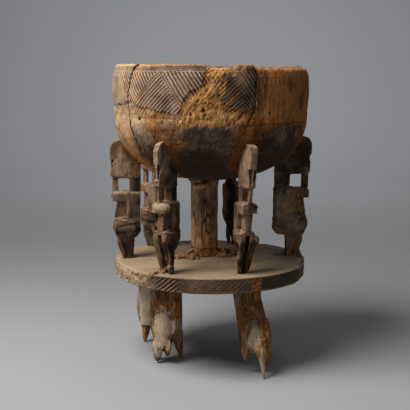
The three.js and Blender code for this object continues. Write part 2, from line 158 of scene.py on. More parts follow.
def meshOf(name, points, faces, marks=None):
    # faces is a list of arrays, each with one face per row
    mesh = bpy.data.meshes.new(name)
    mesh.vertices.add(len(points))
    mesh.vertices.foreach_set("co", (points * mm).astype(np.float32).ravel())
    corners = np.concatenate([f.ravel() for f in faces])
    sides = np.concatenate([np.full(len(f), f.shape[1]) for f in faces])
    mesh.loops.add(len(corners))
    mesh.loops.foreach_set("vertex_index", corners.astype(np.int32))
    mesh.polygons.add(len(sides))
    mesh.polygons.foreach_set("loop_start", (np.cumsum(sides) - sides).astype(np.int32))
    for key, values in (marks or {}).items():
        mark = mesh.attributes.new(key, "FLOAT", "POINT")
        mark.data.foreach_set("value", values.astype(np.float32))
    mesh.update(calc_edges=True)
    mesh.validate()
    mesh.shade_smooth()
    return mesh


def arraysOf(mesh):
    points = np.empty(len(mesh.vertices) * 3, np.float32)
    mesh.vertices.foreach_get("co", points)
    mesh.calc_loop_triangles()
    triangles = np.empty(len(mesh.loop_triangles) * 3, np.int32)
    mesh.loop_triangles.foreach_get("vertices", triangles)
    return points.reshape(-1, 3).astype(float) / mm, triangles.reshape(-1, 3)


def normalsOf(points, faces):
    # one for each point, from the triangles round it
    a, b, c = (points[corner] for corner in faces.T)
    normal = np.cross(c - a, c - b)
    total = np.zeros_like(points)
    for corner in faces.T:
        for axis in range(3):
            total[:, axis] += np.bincount(corner, normal[:, axis], len(points))
    return total / np.maximum(np.linalg.norm(total, axis=1), 1e-12)[:, None]


def ringOf(count):
    # numbers round a ring, and the number after each
    ring = np.arange(count)
    return ring, (ring + 1) % count


def gridFaces(ids, keep=None, flip=False):
    # quads over a grid whose columns go round, or over the cells of it that are kept
    if keep is None:
        keep = np.ones((ids.shape[0], ids.shape[1] - 1), bool)
    i, j = np.nonzero(keep)
    after = (i + 1) % ids.shape[0]
    quads = np.stack([ids[i, j], ids[after, j], ids[after, j + 1], ids[i, j + 1]], 1)
    return quads[:, ::-1] if flip else quads


def withModifier(mesh, kind, **settings):
    # the mesh after one modifier
    holder = bpy.data.objects.new("holder", mesh)
    bpy.context.scene.collection.objects.link(holder)
    modifier = holder.modifiers.new("change", kind)
    for key, value in settings.items():
        setattr(modifier, key, value)
    graph = bpy.context.evaluated_depsgraph_get()
    changed = bpy.data.meshes.new_from_object(holder.evaluated_get(graph))
    bpy.data.objects.remove(holder)
    return changed


def thinned(mesh, triangles, most):
    # a mesh with about as many triangles as it may have
    if triangles > most:
        mesh = withModifier(mesh, "DECIMATE", ratio=most / triangles)
        mesh.shade_smooth()
    return mesh


def keepInside(points):
    # nothing stands out past the solids' own box
    return np.clip(points, np.array(cadLow) / mm, np.array(cadHigh) / mm)


def placePiece(name, mesh, material, nodes):
    piece = bpy.data.objects.new(name, mesh)
    bpy.context.scene.collection.objects.link(piece)
    mesh.materials.clear()
    mesh.materials.append(material)
    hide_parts(*nodes)
    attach(piece, "root")


# Shared shader node groups

number, colour = "NodeSocketFloat", "NodeSocketColor"
# what each mesh says point by point: raw wood, soot, dark lines, orange rot, brown stain, chalky dirt.
# In places soot, line, rust and stain also carry painted shade, and raw and pale carry painted light
markNames = ["Raw", "Soot", "Line", "Rust", "Stain", "Pale"]
toneNames = ["Skin Light", "Skin Deep", "Soot", "Raw Light", "Raw Deep", "Rust", "Stain", "Dust"]
grainInputs = [("Fibre Size", number, 1.6), ("Fibre Length", number, 14.0), ("Blotch Size", number, 26.0)]
wood = {
    "lineShare": 0.92, "hollowShare": 0.55, "hollowTone": (0.34, 0.27, 0.22, 1), "bumpDepth": 0.6,
    "skinRoughness": 0.82, "rawRoughness": 0.95, "speckleScale": 900.0,
}


def socketOf(sockets, name):
    return next(s for s in sockets if s.name == name and s.enabled)


def addNode(tree, kind, inputs=None, **settings):
    # a node with its settings, and each input linked or set
    node = tree.nodes.new(kind)
    for key, value in settings.items():
        setattr(node, key, value)
    for key, value in (inputs or {}).items():
        target = node.inputs[key] if isinstance(key, int) else socketOf(node.inputs, key)
        if isinstance(value, bpy.types.NodeSocket):
            tree.links.new(value, target)
        else:
            target.default_value = value
    return node


def linkAll(tree, values, sockets):
    for key, value in values.items():
        tree.links.new(value, sockets[key])


def mathNode(tree, operation, *values, clamp=False):
    inputs = dict(enumerate(values))
    return addNode(tree, "ShaderNodeMath", inputs, operation=operation, use_clamp=clamp).outputs[0]


def mixColour(tree, share, first, second, blend="MIX"):
    inputs = {"Factor": share, "A": first, "B": second}
    node = addNode(tree, "ShaderNodeMix", inputs, data_type="RGBA", blend_type=blend)
    return socketOf(node.outputs, "Result")


def rangeNode(tree, value, low, high, toLow=0.0, toHigh=1.0):
    inputs = {"Value": value, "From Min": low, "From Max": high, "To Min": toLow, "To Max": toHigh}
    return addNode(tree, "ShaderNodeMapRange", inputs, interpolation_type="SMOOTHSTEP").outputs["Result"]


def noiseNode(tree, vector, scale, detail, roughness):
    inputs = {"Vector": vector, "Scale": scale, "Detail": detail, "Roughness": roughness}
    return addNode(tree, "ShaderNodeTexNoise", inputs).outputs[0]


def newGroup(name, inputs, outputs):
    tree = bpy.data.node_groups.new(name, "ShaderNodeTree")
    for label, kind, value in inputs:
        entry = tree.interface.new_socket(label, in_out="INPUT", socket_type=kind)
        entry.default_value = value
    for label in outputs:
        kind = colour if label == "Color" else number
        tree.interface.new_socket(label, in_out="OUTPUT", socket_type=kind)
    return tree, tree.nodes.new("NodeGroupInput").outputs, tree.nodes.new("NodeGroupOutput").inputs


def grainGroup():
    # long fibres up the log, blotches, and fine speckle
    tree, given, out = newGroup("log grain", grainInputs, ["Fibre", "Blotch", "Speckle"])
    place = addNode(tree, "ShaderNodeTexCoord").outputs["Object"]
    perMetre = mathNode(tree, "DIVIDE", 1 / mm, given["Fibre Size"])
    squeeze = mathNode(tree, "DIVIDE", given["Fibre Size"], given["Fibre Length"])
    stretch = addNode(tree, "ShaderNodeCombineXYZ", {"X": 1.0, "Y": 1.0, "Z": squeeze}).outputs[0]
    long = addNode(tree, "ShaderNodeVectorMath", {0: place, 1: stretch}, operation="MULTIPLY").outputs[0]
    blotchScale = mathNode(tree, "DIVIDE", 1 / mm, given["Blotch Size"])
    linkAll(tree, {
        "Fibre": noiseNode(tree, long, perMetre, 5.0, 0.62),
        "Blotch": noiseNode(tree, place, blotchScale, 5.0, 0.6),
        "Speckle": noiseNode(tree, place, wood["speckleScale"], 3.0, 0.6),
    }, out)
    return tree


def wearGroup():
    # rubbed high edges and filled hollows, from how sharply the surface bends, where 0.5 is flat
    inputs = [("Speckle", number, 0.5), ("Reach", number, 0.04)]
    tree, given, out = newGroup("edge wear", inputs, ["Edge", "Hollow"])
    bend = addNode(tree, "ShaderNodeNewGeometry").outputs["Pointiness"]
    rough = mathNode(tree, "MULTIPLY", mathNode(tree, "SUBTRACT", given["Speckle"], 0.5), 0.06)
    uneven = mathNode(tree, "ADD", bend, rough)
    high = mathNode(tree, "ADD", given["Reach"], 0.51)
    low = mathNode(tree, "SUBTRACT", 0.49, given["Reach"])
    linkAll(tree, {
        "Edge": rangeNode(tree, uneven, 0.51, high), "Hollow": rangeNode(tree, uneven, low, 0.49, 1.0, 0.0),
    }, out)
    return tree


def dustGroup():
    # pale dust on what faces up
    inputs = [("Amount", number, 0.5), ("Blotch", number, 0.5), ("Speckle", number, 0.5)]
    tree, given, out = newGroup("settled dust", inputs, ["Dust"])
    facing = addNode(tree, "ShaderNodeNewGeometry").outputs["Normal"]
    up = addNode(tree, "ShaderNodeSeparateXYZ", {0: facing}).outputs["Z"]
    patchy = rangeNode(tree, mathNode(tree, "ADD", given["Blotch"], given["Speckle"]), 0.75, 1.2)
    patchy = mathNode(tree, "MULTIPLY_ADD", patchy, 0.5, 0.5)
    lying = mathNode(tree, "MULTIPLY", rangeNode(tree, up, 0.25, 0.95), patchy)
    tree.links.new(mathNode(tree, "MULTIPLY", lying, given["Amount"], clamp=True), out["Dust"])
    return tree


def woodGroup(grain, wear, dust):
    # carved skin under smoke and dirt, worn through to raw wood where the raw mark is high
    tree, given, out = newGroup(
        "weathered wood",
        [(f"{tone} Colour", colour, (0.5, 0.5, 0.5, 1)) for tone in toneNames]
        + [(f"{mark} Mark", number, 0.0) for mark in markNames]
        + [("Dust Amount", number, 0.3), ("Edge Rub", number, 0.4)] + grainInputs,
        ["Color", "Roughness", "Height"],
    )

    def plus(first, second):
        return mathNode(tree, "ADD", first, second)

    def times(first, second, clamp=False):
        return mathNode(tree, "MULTIPLY", first, second, clamp=clamp)

    def scaled(value, factor, added, clamp=False):
        return mathNode(tree, "MULTIPLY_ADD", value, factor, added, clamp=clamp)

    def tinted(share, base, tone):
        return mixColour(tree, share, base, given[f"{tone} Colour"])

    passed = {label: given[label] for label, _, _ in grainInputs}
    texture = addNode(tree, "ShaderNodeGroup", passed, node_tree=grain).outputs
    fibre, blotch, speckle = texture["Fibre"], texture["Blotch"], texture["Speckle"]
    worn = addNode(tree, "ShaderNodeGroup", {"Speckle": speckle}, node_tree=wear).outputs
    inputs = {"Amount": given["Dust Amount"], "Blotch": blotch, "Speckle": speckle}
    lying = addNode(tree, "ShaderNodeGroup", inputs, node_tree=dust).outputs["Dust"]

    mottle = scaled(fibre, 0.35, times(blotch, 0.65))
    skin = tinted(rangeNode(tree, mottle, 0.34, 0.66), given["Skin Deep Colour"], "Skin Light")
    # the soot mark brings real soot and, on some pieces, painted shade
    smoky = rangeNode(tree, plus(given["Soot Mark"], scaled(blotch, 0.5, -0.25)), 0.0, 1.0)
    sootAndShadeShare = times(smoky, scaled(speckle, 0.3, 0.8), clamp=True)
    skin = tinted(sootAndShadeShare, skin, "Soot")
    skin = tinted(times(worn["Edge"], given["Edge Rub"]), skin, "Skin Light")
    rawShare = rangeNode(tree, scaled(fibre, 0.6, times(blotch, 0.4)), 0.38, 0.62)
    raw = tinted(rawShare, given["Raw Deep Colour"], "Raw Light")
    rustShare = times(given["Rust Mark"], rangeNode(tree, blotch, 0.2, 0.6, 0.55, 1.0), clamp=True)
    raw = tinted(rustShare, raw, "Rust")
    raw = tinted(times(given["Stain Mark"], rangeNode(tree, fibre, 0.25, 0.7, 1.0, 0.45)), raw, "Stain")
    rawMask = rangeNode(tree, plus(given["Raw Mark"], scaled(fibre, 0.9, -0.45)), 0.25, 0.75)
    body = mixColour(tree, rawMask, skin, raw)
    body = tinted(times(given["Pale Mark"], rangeNode(tree, mottle, 0.3, 0.62, 0.45, 1.0)), body, "Dust")
    body = tinted(times(given["Line Mark"], wood["lineShare"]), body, "Soot")
    darker = mixColour(tree, 1.0, body, wood["hollowTone"], "MULTIPLY")
    body = mixColour(tree, times(worn["Hollow"], wood["hollowShare"]), body, darker)
    body = tinted(lying, body, "Dust")
    rough = scaled(sootAndShadeShare, -0.1, wood["skinRoughness"])
    rough = mathNode(tree, "MAXIMUM", rough, times(rawMask, wood["rawRoughness"]))
    rough = scaled(speckle, 0.12, mathNode(tree, "SUBTRACT", rough, 0.04), clamp=True)
    height = scaled(speckle, 0.4, times(fibre, scaled(rawMask, 0.8, 0.35)))
    linkAll(tree, {"Color": body, "Roughness": rough, "Height": height}, out)
    return tree


weatheredWood = woodGroup(grainGroup(), wearGroup(), dustGroup())


def shade(code):
    # a hexadecimal screen colour as Blender's linear one
    parts = [int(code[i:i + 2], 16) / 255 for i in (0, 2, 4)]
    return [p / 12.92 if p <= 0.04045 else ((p + 0.055) / 1.055) ** 2.4 for p in parts] + [1.0]


def principledOf(material):
    material.use_nodes = True
    return next(n for n in material.node_tree.nodes if n.type == "BSDF_PRINCIPLED")


def woodMaterial(name, look):
    material = bpy.data.materials.new(name)
    principled = principledOf(material)
    principled.inputs["Specular IOR Level"].default_value = look["gloss"]
    tree = material.node_tree
    inputs = {f"{tone} Colour": shade(code) for tone, code in look["tones"].items()}
    surface = addNode(tree, "ShaderNodeGroup", node_tree=weatheredWood)
    for key, value in {**inputs, **look["grain"]}.items():
        surface.inputs[key].default_value = value
    for mark in markNames:
        attribute = addNode(tree, "ShaderNodeAttribute", attribute_name=mark.lower())
        tree.links.new(attribute.outputs["Fac"], surface.inputs[f"{mark} Mark"])
    relief = {
        "Strength": look["bump"], "Distance": wood["bumpDepth"] * mm, "Height": surface.outputs["Height"],
    }
    bump = addNode(tree, "ShaderNodeBump", relief)
    linkAll(tree, {
        "Base Color": surface.outputs["Color"], "Roughness": surface.outputs["Roughness"],
        "Normal": bump.outputs["Normal"],
    }, principled.inputs)
    return material


# Camera, lamps and a round pale studio

view = {
    "lens": 80.3, "eye": 452, "back": 1425, "aside": -9.3, "pitch": 8.39, "roll": -0.3,
}
studio = {
    "floorRadius": 2600, "coveRadius": 900, "coveSteps": 12, "wallHeight": 2800, "sides": 96,
    "tone": "9d9ea0", "roughness": 0.9, "world": 0.12, "lampSpread": 130,
}
lamps = {
    "key": {
        "at": (-760, -570, 1490), "to": (-60, -200, 120), "size": 1050, "power": 20.8,
        "tint": (1.0, 0.985, 0.96),
    },
    "fill": {
        "at": (1200, -1900, 900), "to": (0, 0, 250), "size": 1600, "power": 1.8, "tint": (0.96, 0.97, 1.0),
    },
    "back": {
        "at": (800, 1000, 2300), "to": (0, 0, 200), "size": 1500, "power": 1.8, "tint": (0.97, 0.98, 1.0),
    },
    "wall": {
        "at": (0, 1700, 2300), "to": (0, 3400, 500), "size": 1500, "power": 23.2, "tint": (0.97, 0.98, 1.0),
    },
}


def buildCamera():
    camera = bpy.data.objects.new("camera", bpy.data.cameras.new("camera"))
    camera.data.lens = view["lens"]
    camera.location = (view["aside"] * mm, -view["back"] * mm, view["eye"] * mm)
    camera.rotation_mode = "XYZ"
    camera.rotation_euler = (math.radians(90 - view["pitch"]), math.radians(view["roll"]), 0)
    bpy.context.scene.collection.objects.link(camera)
    bpy.context.scene.camera = camera


def buildLamp(name, lamp):
    data = bpy.data.lights.new(name, "AREA")
    data.shape = "DISK"
    data.size = lamp["size"] * mm
    data.energy = lamp["power"]
    data.color = lamp["tint"]
    data.spread = math.radians(studio["lampSpread"])
    holder = bpy.data.objects.new(name, data)
    place = np.array(lamp["at"]) * mm
    aim = np.array(lamp["to"]) * mm - place
    holder.location = place
    yaw = math.atan2(aim[1], aim[0]) - math.pi / 2
    tip = math.atan2(math.hypot(aim[0], aim[1]), -aim[2])
    holder.rotation_euler = (tip, 0, yaw)
    bpy.context.scene.collection.objects.link(holder)


def buildStudio():
    # floor, cove and wall in one sheet
    radius, cove, sides = studio["floorRadius"], studio["coveRadius"], studio["sides"]
    line = [(radius * 0.5, 0.0)]
    for t in np.linspace(0, np.pi / 2, studio["coveSteps"]):
        line.append((radius + cove * math.sin(t), cove * (1 - math.cos(t))))
    line.append((radius + cove, studio["wallHeight"]))
    angles = np.arange(sides) / sides * 360
    points = np.concatenate([dirPoint(angles, r, z) for r, z in line] + [np.zeros((1, 3))])
    ids = np.arange(sides * len(line)).reshape(-1, sides).T
    ring, after = ringOf(sides)
    middle = np.stack([ring, after, 0 * ring + len(points) - 1], 1)
    mesh = meshOf("studio", points, [gridFaces(ids, flip=True), middle])
    material = bpy.data.materials.new("studio paper")
    principled = principledOf(material)
    principled.inputs["Base Color"].default_value = shade(studio["tone"])
    principled.inputs["Roughness"].default_value = studio["roughness"]
    mesh.materials.append(material)
    paper = bpy.data.objects.new("studio", mesh)
    bpy.context.scene.collection.objects.link(paper)
    world = bpy.data.worlds.new("studio light")
    world.use_nodes = True
    sky = next(n for n in world.node_tree.nodes if n.type == "BACKGROUND")
    sky.inputs["Color"].default_value = (1, 1, 1, 1)
    sky.inputs["Strength"].default_value = studio["world"]
    bpy.context.scene.world = world
    bpy.context.scene.view_settings.view_transform = "Standard"
    for name, lamp in lamps.items():
        buildLamp(name, lamp)


buildCamera()
buildStudio()
print("camera and studio ready")


# Bowl: one fine grid over the whole shell, whose lines follow the cracks, split into the main
# bowl and the two staves

bowl = {
    "bellyDepth": 108, "bellyRadius": 151, "bellyExponent": 2.3, "lean": 4, "wave": 1, "waveRadius": 153,
    "wall": [(0, 151), (0.4, 153), (0.75, 152), (0.94, 148.3), (1, 145.2)],
    "thickness": 14, "floorThickness": 20, "floorRadius": 46, "rimLoss": 6, "rimWider": 4.5,
    "startRadius": 9, "beltLevel": 399, "breakGap": 1.0,
    "columns": 800, "rows": (46, 44, 22, 60), "rimRows": 8, "trianglesEach": 188000,
    "skinInset": 0.4, "rawDepth": 1.7,
    "torn": {"fibre": 0.6, "strips": 0.5, "ragged": -0.6, "chips": 0.9, "ledges": 0.42},
}
# a crack runs along its line of (level, bearing) and is as wide as its gap in mm, and the stave
# beyond it breaks off this much above the bowl's lowest point
leftCrack = {
    "line": [
        (313, -49), (337, -50.2), (352, -50.9), (370, -53.1), (402, -54.5), (426, -52.6), (450, -50),
        (461, -47.6),
    ],
    "gap": [
        (313, 2.4), (335, 3.6), (352, 3.0), (372, 1.8), (402, 1.6), (430, 1.9), (446, 2.8), (461, 5.4),
    ],
    "near": -50, "far": -126, "lift": 29, "bow": 8,
}
rightCrack = {
    "line": [(371, 19.5), (383, 21.2), (398, 23.8), (430, 24.2), (461, 24.6)],
    "gap": [(371, 0.9), (398, 0.9), (440, 1.2), (461, 1.9)],
    "near": 22, "far": 98, "lift": 88, "bow": 5,
}
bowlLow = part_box("bowl")[0].z / mm
rimTop = cadHigh.z / mm
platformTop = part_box("platform")[1].z / mm
bellyTop = bowlLow + bowl["bellyDepth"]
floorLevel = bowlLow + bowl["floorThickness"]
degreesPerMm = math.degrees(1 / bowl["bellyRadius"])


def bellyCurve(share):
    power = bowl["bellyExponent"]
    return (1 - (1 - share) ** power) ** (1 / power)


def outerProfile():
    # dense (radius, level) line up the outside, from the middle of the underside to the rim
    share = np.linspace(0, 1, 400) ** 2.2
    belly = np.stack([bowl["bellyRadius"] * bellyCurve(share), bowlLow + bowl["bellyDepth"] * share], 1)
    knots = np.array(bowl["wall"])
    t = np.linspace(0, 1, 160)[1:]
    wall = np.stack([np.interp(t, knots[:, 0], knots[:, 1]), bellyTop + (rimTop - bellyTop) * t], 1)
    return np.concatenate([belly, wall])


def innerProfile():
    share = np.linspace(0, 1, 300) ** 2
    spread = bowl["bellyRadius"] - bowl["thickness"] - bowl["floorRadius"]
    radius = bowl["floorRadius"] + spread * bellyCurve(share)
    curve = np.stack([radius, floorLevel + (bellyTop - floorLevel) * share], 1)
    rim = [(bowl["wall"][-1][1] - bowl["thickness"] + bowl["rimWider"], rimTop)]
    return np.concatenate([[(0, floorLevel)], curve, rim])


def travel(line):
    steps = np.hypot(*np.diff(line, axis=0).T)
    return np.concatenate([[0], np.cumsum(steps)])


outer, inner = outerProfile(), innerProfile()
outerRun, innerRun = travel(outer), travel(inner)


def onOuter(run):
    # radius and level at a distance along the outside
    return np.interp(run, outerRun, outer[:, 0]), np.interp(run, outerRun, outer[:, 1])


def runAtLevel(level):
    return np.interp(level, outer[:, 1], outerRun)


def rimDrop(bearing):
    # how far the broken rim lies low, sharper than the solid's: a notch between the cracks, then
    # the right stave and the back
    ragged = lineNoise(bearing * 0.35, 1.0, 3) * 0.5 + 0.5
    fine = lineNoise(bearing * 1.3, 1.0, 4, 5) * 0.5 + 0.5
    notch = smoothStep(bearing, -5, -2) * fadeOut(bearing, 12.5, 15.2)
    right = smoothStep(bearing, 24.4, 24.8) * fadeOut(bearing, 97, 98)
    back = np.where((bearing > rightCrack["far"]) | (bearing < leftCrack["far"]), 1, 0)
    loss = 0.3 * ragged + notch * (4.3 + 1.4 * fine) + right * (3.1 + 1.6 * ragged + 1.2 * fine)
    return np.minimum(loss + back * (2.6 * ragged + 0.8 * fine) + 0.5 * fine, bowl["rimLoss"])


def crackAt(crack, key, level):
    return np.interp(level, *np.array(crack[key]).T)


def guideColumns(level):
    # bearings of the lines that bound the staves at a level
    wiggle = lineNoise(level, 9.0, 5) * 0.5
    seam = 0.5 * degreesPerMm
    left = crackAt(leftCrack, "line", level) + wiggle
    right = crackAt(rightCrack, "line", level) + wiggle * 0.5
    leftGap, rightGap = (crackAt(crack, "gap", level) * degreesPerMm for crack in (leftCrack, rightCrack))
    leftFar = leftCrack["far"] + wiggle * 0.6
    rightFar = rightCrack["far"] - wiggle * 0.6
    return np.stack([
        leftFar, leftFar + seam, left - leftGap, left, right, right + rightGap, rightFar - seam, rightFar,
        leftFar + 360,
    ])


def bowlGrid():
    # a bearing and a run up the outside for each point, and where guides and breaks come in it
    scale = 1
    rows = [max(4, round(count * scale)) for count in bowl["rows"]]
    guides = guideColumns(np.array([bellyTop]))[:, 0]
    # each stretch between guides has its share of the columns, and gaps and seams get one
    columns = [max(1, round(span / 360 * bowl["columns"] * scale)) for span in np.diff(guides)]
    columns[0:8:2] = [1] * 4
    # a first pass gives each column a bearing at the belly, which sets the break levels there
    stops = np.concatenate([[0], np.cumsum(columns)])
    place = np.arange(stops[-1] + 1)
    middle = np.interp(place, stops, guides)

    def breakRun(crack, seed):
        share = unit((middle - crack["far"]) / (crack["near"] - crack["far"]))
        jag = lineNoise(middle, 4.0, seed) * 1.6
        window = np.sin(np.pi * share) ** 0.5
        return runAtLevel(bowlLow + crack["lift"] + window * (crack["bow"] + jag))

    def level(run):
        return np.full(middle.shape, run)

    first, second = breakRun(leftCrack, 1), breakRun(rightCrack, 2)
    start = level(np.interp(bowl["startRadius"], outer[:, 0], outerRun))
    belt, top = level(runAtLevel(bowl["beltLevel"])), level(outerRun[-1])
    levels = [start, first, first + bowl["breakGap"], second, second + bowl["breakGap"], belt, top]
    rowStops = np.concatenate([[0], np.cumsum([rows[0], 1, rows[1], 1, rows[2], rows[3]])])
    places = np.arange(rowStops[-1] + 1)
    grid = np.array([np.interp(places, rowStops, column) for column in np.stack(levels, 1)])
    heights = onOuter(grid)[1]
    bearing = np.empty_like(grid)
    for row in range(grid.shape[1]):
        guides = guideColumns(heights[:, row])
        for k in range(len(stops) - 1):
            here = slice(stops[k], stops[k + 1] + 1)
            t = (place[here] - stops[k]) / columns[k]
            bearing[here, row] = guides[k][here] * (1 - t) + guides[k + 1][here] * t
    # the last column is the first again
    return bearing[:-1], grid[:-1], stops, rowStops


hatch = {
    "apex": -28.3, "top": 450.3, "low": 390, "leftSlope": 42, "rightSlope": 56, "repeats": 9,
    "leftSpacing": 4.5, "rightSpacing": 5.0, "lineWidth": 1.25, "depth": 1.7,
    # half the space in a pair of zigzag lines, then where the hatching beside it starts and is full
    "pairHalf": 1.9, "margin": 2.4, "clear": (3.4, 4.4),
    "borders": [457, 454.6, 452.1, 388.6, 386.2, 383.8],
}
# outlines of carved skin that is left, as (bearing, level), with how sooty and how rubbed each is,
# from 0 to 1
skinPatches = [
    {"soot": 0.16, "outline": [
        (-57, 463), (-46, 457), (-3, 463), (-3.5, 452), (-5, 431), (-12.5, 420), (-16, 404), (-18, 393),
        (-25, 391), (-33, 395), (-40, 399), (-45, 400), (-50, 408), (-56, 404),
    ]},
    {"soot": 0.2, "outline": [
        (-125, 463), (-58, 463), (-57, 404), (-70, 398), (-85, 404), (-99, 400), (-110, 405), (-125, 400),
    ]},
    {"soot": 0.7, "outline": [
        (15.5, 463), (25, 463), (25, 398), (17, 396), (8, 402), (4.5, 412), (4, 428), (9, 449),
    ]},
    {"soot": 0.6, "rubbed": 0.62, "outline": [
        (-27, 389), (-19, 388), (-19, 379), (-22, 372), (-22, 356), (-27, 348), (-32, 352), (-31, 372),
        (-28, 378),
    ]},
    {"soot": 0.85, "outline": [
        (-18, 372), (-8, 376), (2, 373), (14, 375), (15, 362), (12, 352), (17, 330), (24, 306), (30, 280),
        (-34, 280), (-30, 304), (-26, 318), (-22, 330), (-17, 340), (-14, 352), (-19, 362),
    ]},
    {"soot": 0.75, "rubbed": 0.4, "outline": [
        (-49, 370), (-42, 373), (-38, 366), (-34, 352), (-31, 336), (-34, 320), (-42, 312), (-49, 318),
        (-51, 336), (-52, 354),
    ]},
    {"soot": 0.95, "outline": [
        (27, 362), (38, 363), (41, 372), (56, 374), (63, 366), (68, 340), (66, 322), (88, 322), (84, 284),
        (30, 284), (28, 330),
    ]},
    {"soot": 0.8, "outline": [
        (105, 462), (128, 462), (131, 441), (124, 428), (127, 412), (116, 403), (104, 410),
    ]},
    {"soot": 0.5, "outline": [
        (140, 463), (178, 463), (183, 440), (177, 418), (166, 408), (158, 425), (146, 432),
    ]},
    {"soot": 0.65, "outline": [
        (-172, 463), (-131, 463), (-128, 402), (-142, 396), (-150, 407), (-163, 401), (-171, 415),
        (-166, 436),
    ]},
    {"soot": 0.85, "outline": [
        (104, 378), (124, 374), (140, 377), (144, 350), (132, 318), (140, 284), (100, 284), (108, 330),
    ]},
    {"soot": 0.9, "outline": [
        (172, 372), (190, 376), (204, 370), (203, 340), (196, 300), (176, 300), (168, 345),
    ]},
    {"soot": 0.8, "outline": [
        (-122, 372), (-104, 377), (-98, 352), (-104, 330), (-98, 284), (-130, 284), (-124, 330),
    ]},
]
pits = [
    {"at": (-44.9, 381), "radius": 3.4, "depth": 4.5}, {"at": (-11.2, 390.2), "radius": 3, "depth": 4},
    {"at": (-4.2, 396), "radius": 3, "depth": 4}, {"at": (-33, 387), "radius": 1.8, "depth": 2},
    {"at": (34, 392), "radius": 2.2, "depth": 2.4}, {"at": (111, 395), "radius": 3.2, "depth": 4},
    {"at": (171, 391), "radius": 3.6, "depth": 4}, {"at": (-140, 388), "radius": 3, "depth": 3.6},
    {"at": (-96, 388), "radius": 3, "depth": 3.6},
]
# brown smoke on the raw wood, as (bearing, level), half width and half height in mm, strength
smokeStains = [
    ((29, 434), 10, 28, 1.4), ((49, 434), 5, 13, 0.8), ((61, 408), 9, 16, 0.9), ((40, 456), 30, 5, 0.5),
    ((23.5, 392), 4, 22, 0.8), ((70, 440), 8, 14, 0.5), ((-52, 378), 3, 30, 0.4), ((6, 441), 8, 7, 0.5),
    ((-36, 384), 16, 7, 0.3), ((26, 374), 14, 8, 0.7),
]
# raw wood round the figures' heads, as (bearing, level), with its reach in mm
headHalos = [
    ((-28, 340), 16), ((21, 340), 18), ((-89, 346), 17), ((99, 346), 20), ((-136, 346), 18),
    ((162, 346), 18),
]


def zigzagDepth(bearing, level):
    # how deep the carver's tool went: borders, a double zigzag, and hatching on both sides of it
    period = 360 / hatch["repeats"]
    mmPerDegree = 1 / degreesPerMm
    away = ((bearing - hatch["apex"] + period / 2) % period - period / 2) * mmPerDegree
    reach = period * mmPerDegree
    drop = hatch["top"] - level
    width = hatch["lineWidth"]

    def lineDistance(slope, along):
        # square to a line that falls from the apex at this slope
        return (drop + along * math.tan(math.radians(slope))) * math.cos(math.radians(slope))

    def rows(distance, spacing, wide):
        distance = distance - hatch["margin"]
        return bell((distance + spacing / 2) % spacing - spacing / 2, wide)

    leftLine, nextLeft = (lineDistance(hatch["leftSlope"], along) for along in (away, away - reach))
    rightLine, lastRight = (lineDistance(hatch["rightSlope"], -along) for along in (away, away + reach))
    within = np.minimum(leftLine, rightLine)
    sides = (leftLine, away < 2), (rightLine, away > -2), (nextLeft, away > 0), (lastRight, away < 0)
    doubled = [bell(np.abs(line) - hatch["pairHalf"], width * 0.8) * here for line, here in sides]
    zigzag = np.max(doubled, axis=0)
    slashes = rows(leftLine, hatch["leftSpacing"], width) * smoothStep(within, *hatch["clear"])
    side = np.where(away > 0, rightLine, lastRight)
    beyond = np.minimum(-side, -np.where(away > 0, nextLeft, leftLine))
    strokes = rows(side, hatch["rightSpacing"], width * 1.1) * smoothStep(beyond, *hatch["clear"])
    field = (level < hatch["top"]) & (level > hatch["low"])
    borders = np.max([bell(level - at, width * 0.7) for at in hatch["borders"]], axis=0)
    return np.where(field, np.maximum(zigzag, np.where(within > 0, slashes, strokes)), borders)


def hollows(depth):
    # how far each point of a grid lies under the mean of the few millimetres round it
    mean = depth
    for _ in range(5):
        mean = (mean + np.roll(mean, 1, 0) + np.roll(mean, -1, 0)) / 3
        mean[:, 1:-1] = (mean[:, 1:-1] + mean[:, :-2] + mean[:, 2:]) / 3
    return smoothStep(depth - mean, 0.12, 0.75)


def skinLeft(arc, level):
    # how far inside the carved skin each point lies, and how sooty and how rubbed that skin is
    keep, soot, thin = np.full(arc.shape, -1e3), np.zeros(arc.shape), np.zeros(arc.shape)
    around = 360 / degreesPerMm
    for patch in skinPatches:
        outline = [(bearing / degreesPerMm, height) for bearing, height in patch["outline"]]
        middle = sum(corner[0] for corner in outline) / len(outline)
        wrapped = (arc - middle + around / 2) % around - around / 2 + middle
        within = insideDistance(outline, wrapped, level)
        soot = np.where(within > keep, patch["soot"], soot)
        thin = np.where(within > keep, patch.get("rubbed", 0), thin)
        keep = np.maximum(keep, within)
    return keep, soot, thin


def crackWear(b, z, r, crumbs, depth, nearEdge):
    # wood has crumbled along the cracks, and splits run beside the left one on the belly
    splinters = np.zeros(b.shape)
    for crack in (leftCrack, rightCrack):
        lowest = bowlLow + crack["lift"]
        beside = (b - crackAt(crack, "line", z)) * r * math.radians(1)
        along = smoothStep(z, lowest - 4, lowest + 2)
        deeper = along * (1 + 1.2 * smoothStep(-z, -375, -340))
        depth = depth + deeper * (1.1 + 1.4 * crumbs) * bell(beside, 3.0)
        nearEdge = np.maximum(nearEdge, along * bell(beside, 5.0))
        strand = softNoise(np.stack([beside, z * 0.05, z * 0], -1), (2.6, 2.6, 1), 2)
        reach = bell(beside, 9.0) * along * fadeOut(z, 366, 388)
        splinters = np.maximum(splinters, reach * smoothStep(strand, 0.05, 0.5))
    return np.maximum(depth + 1.6 * splinters, 0.1), nearEdge, splinters


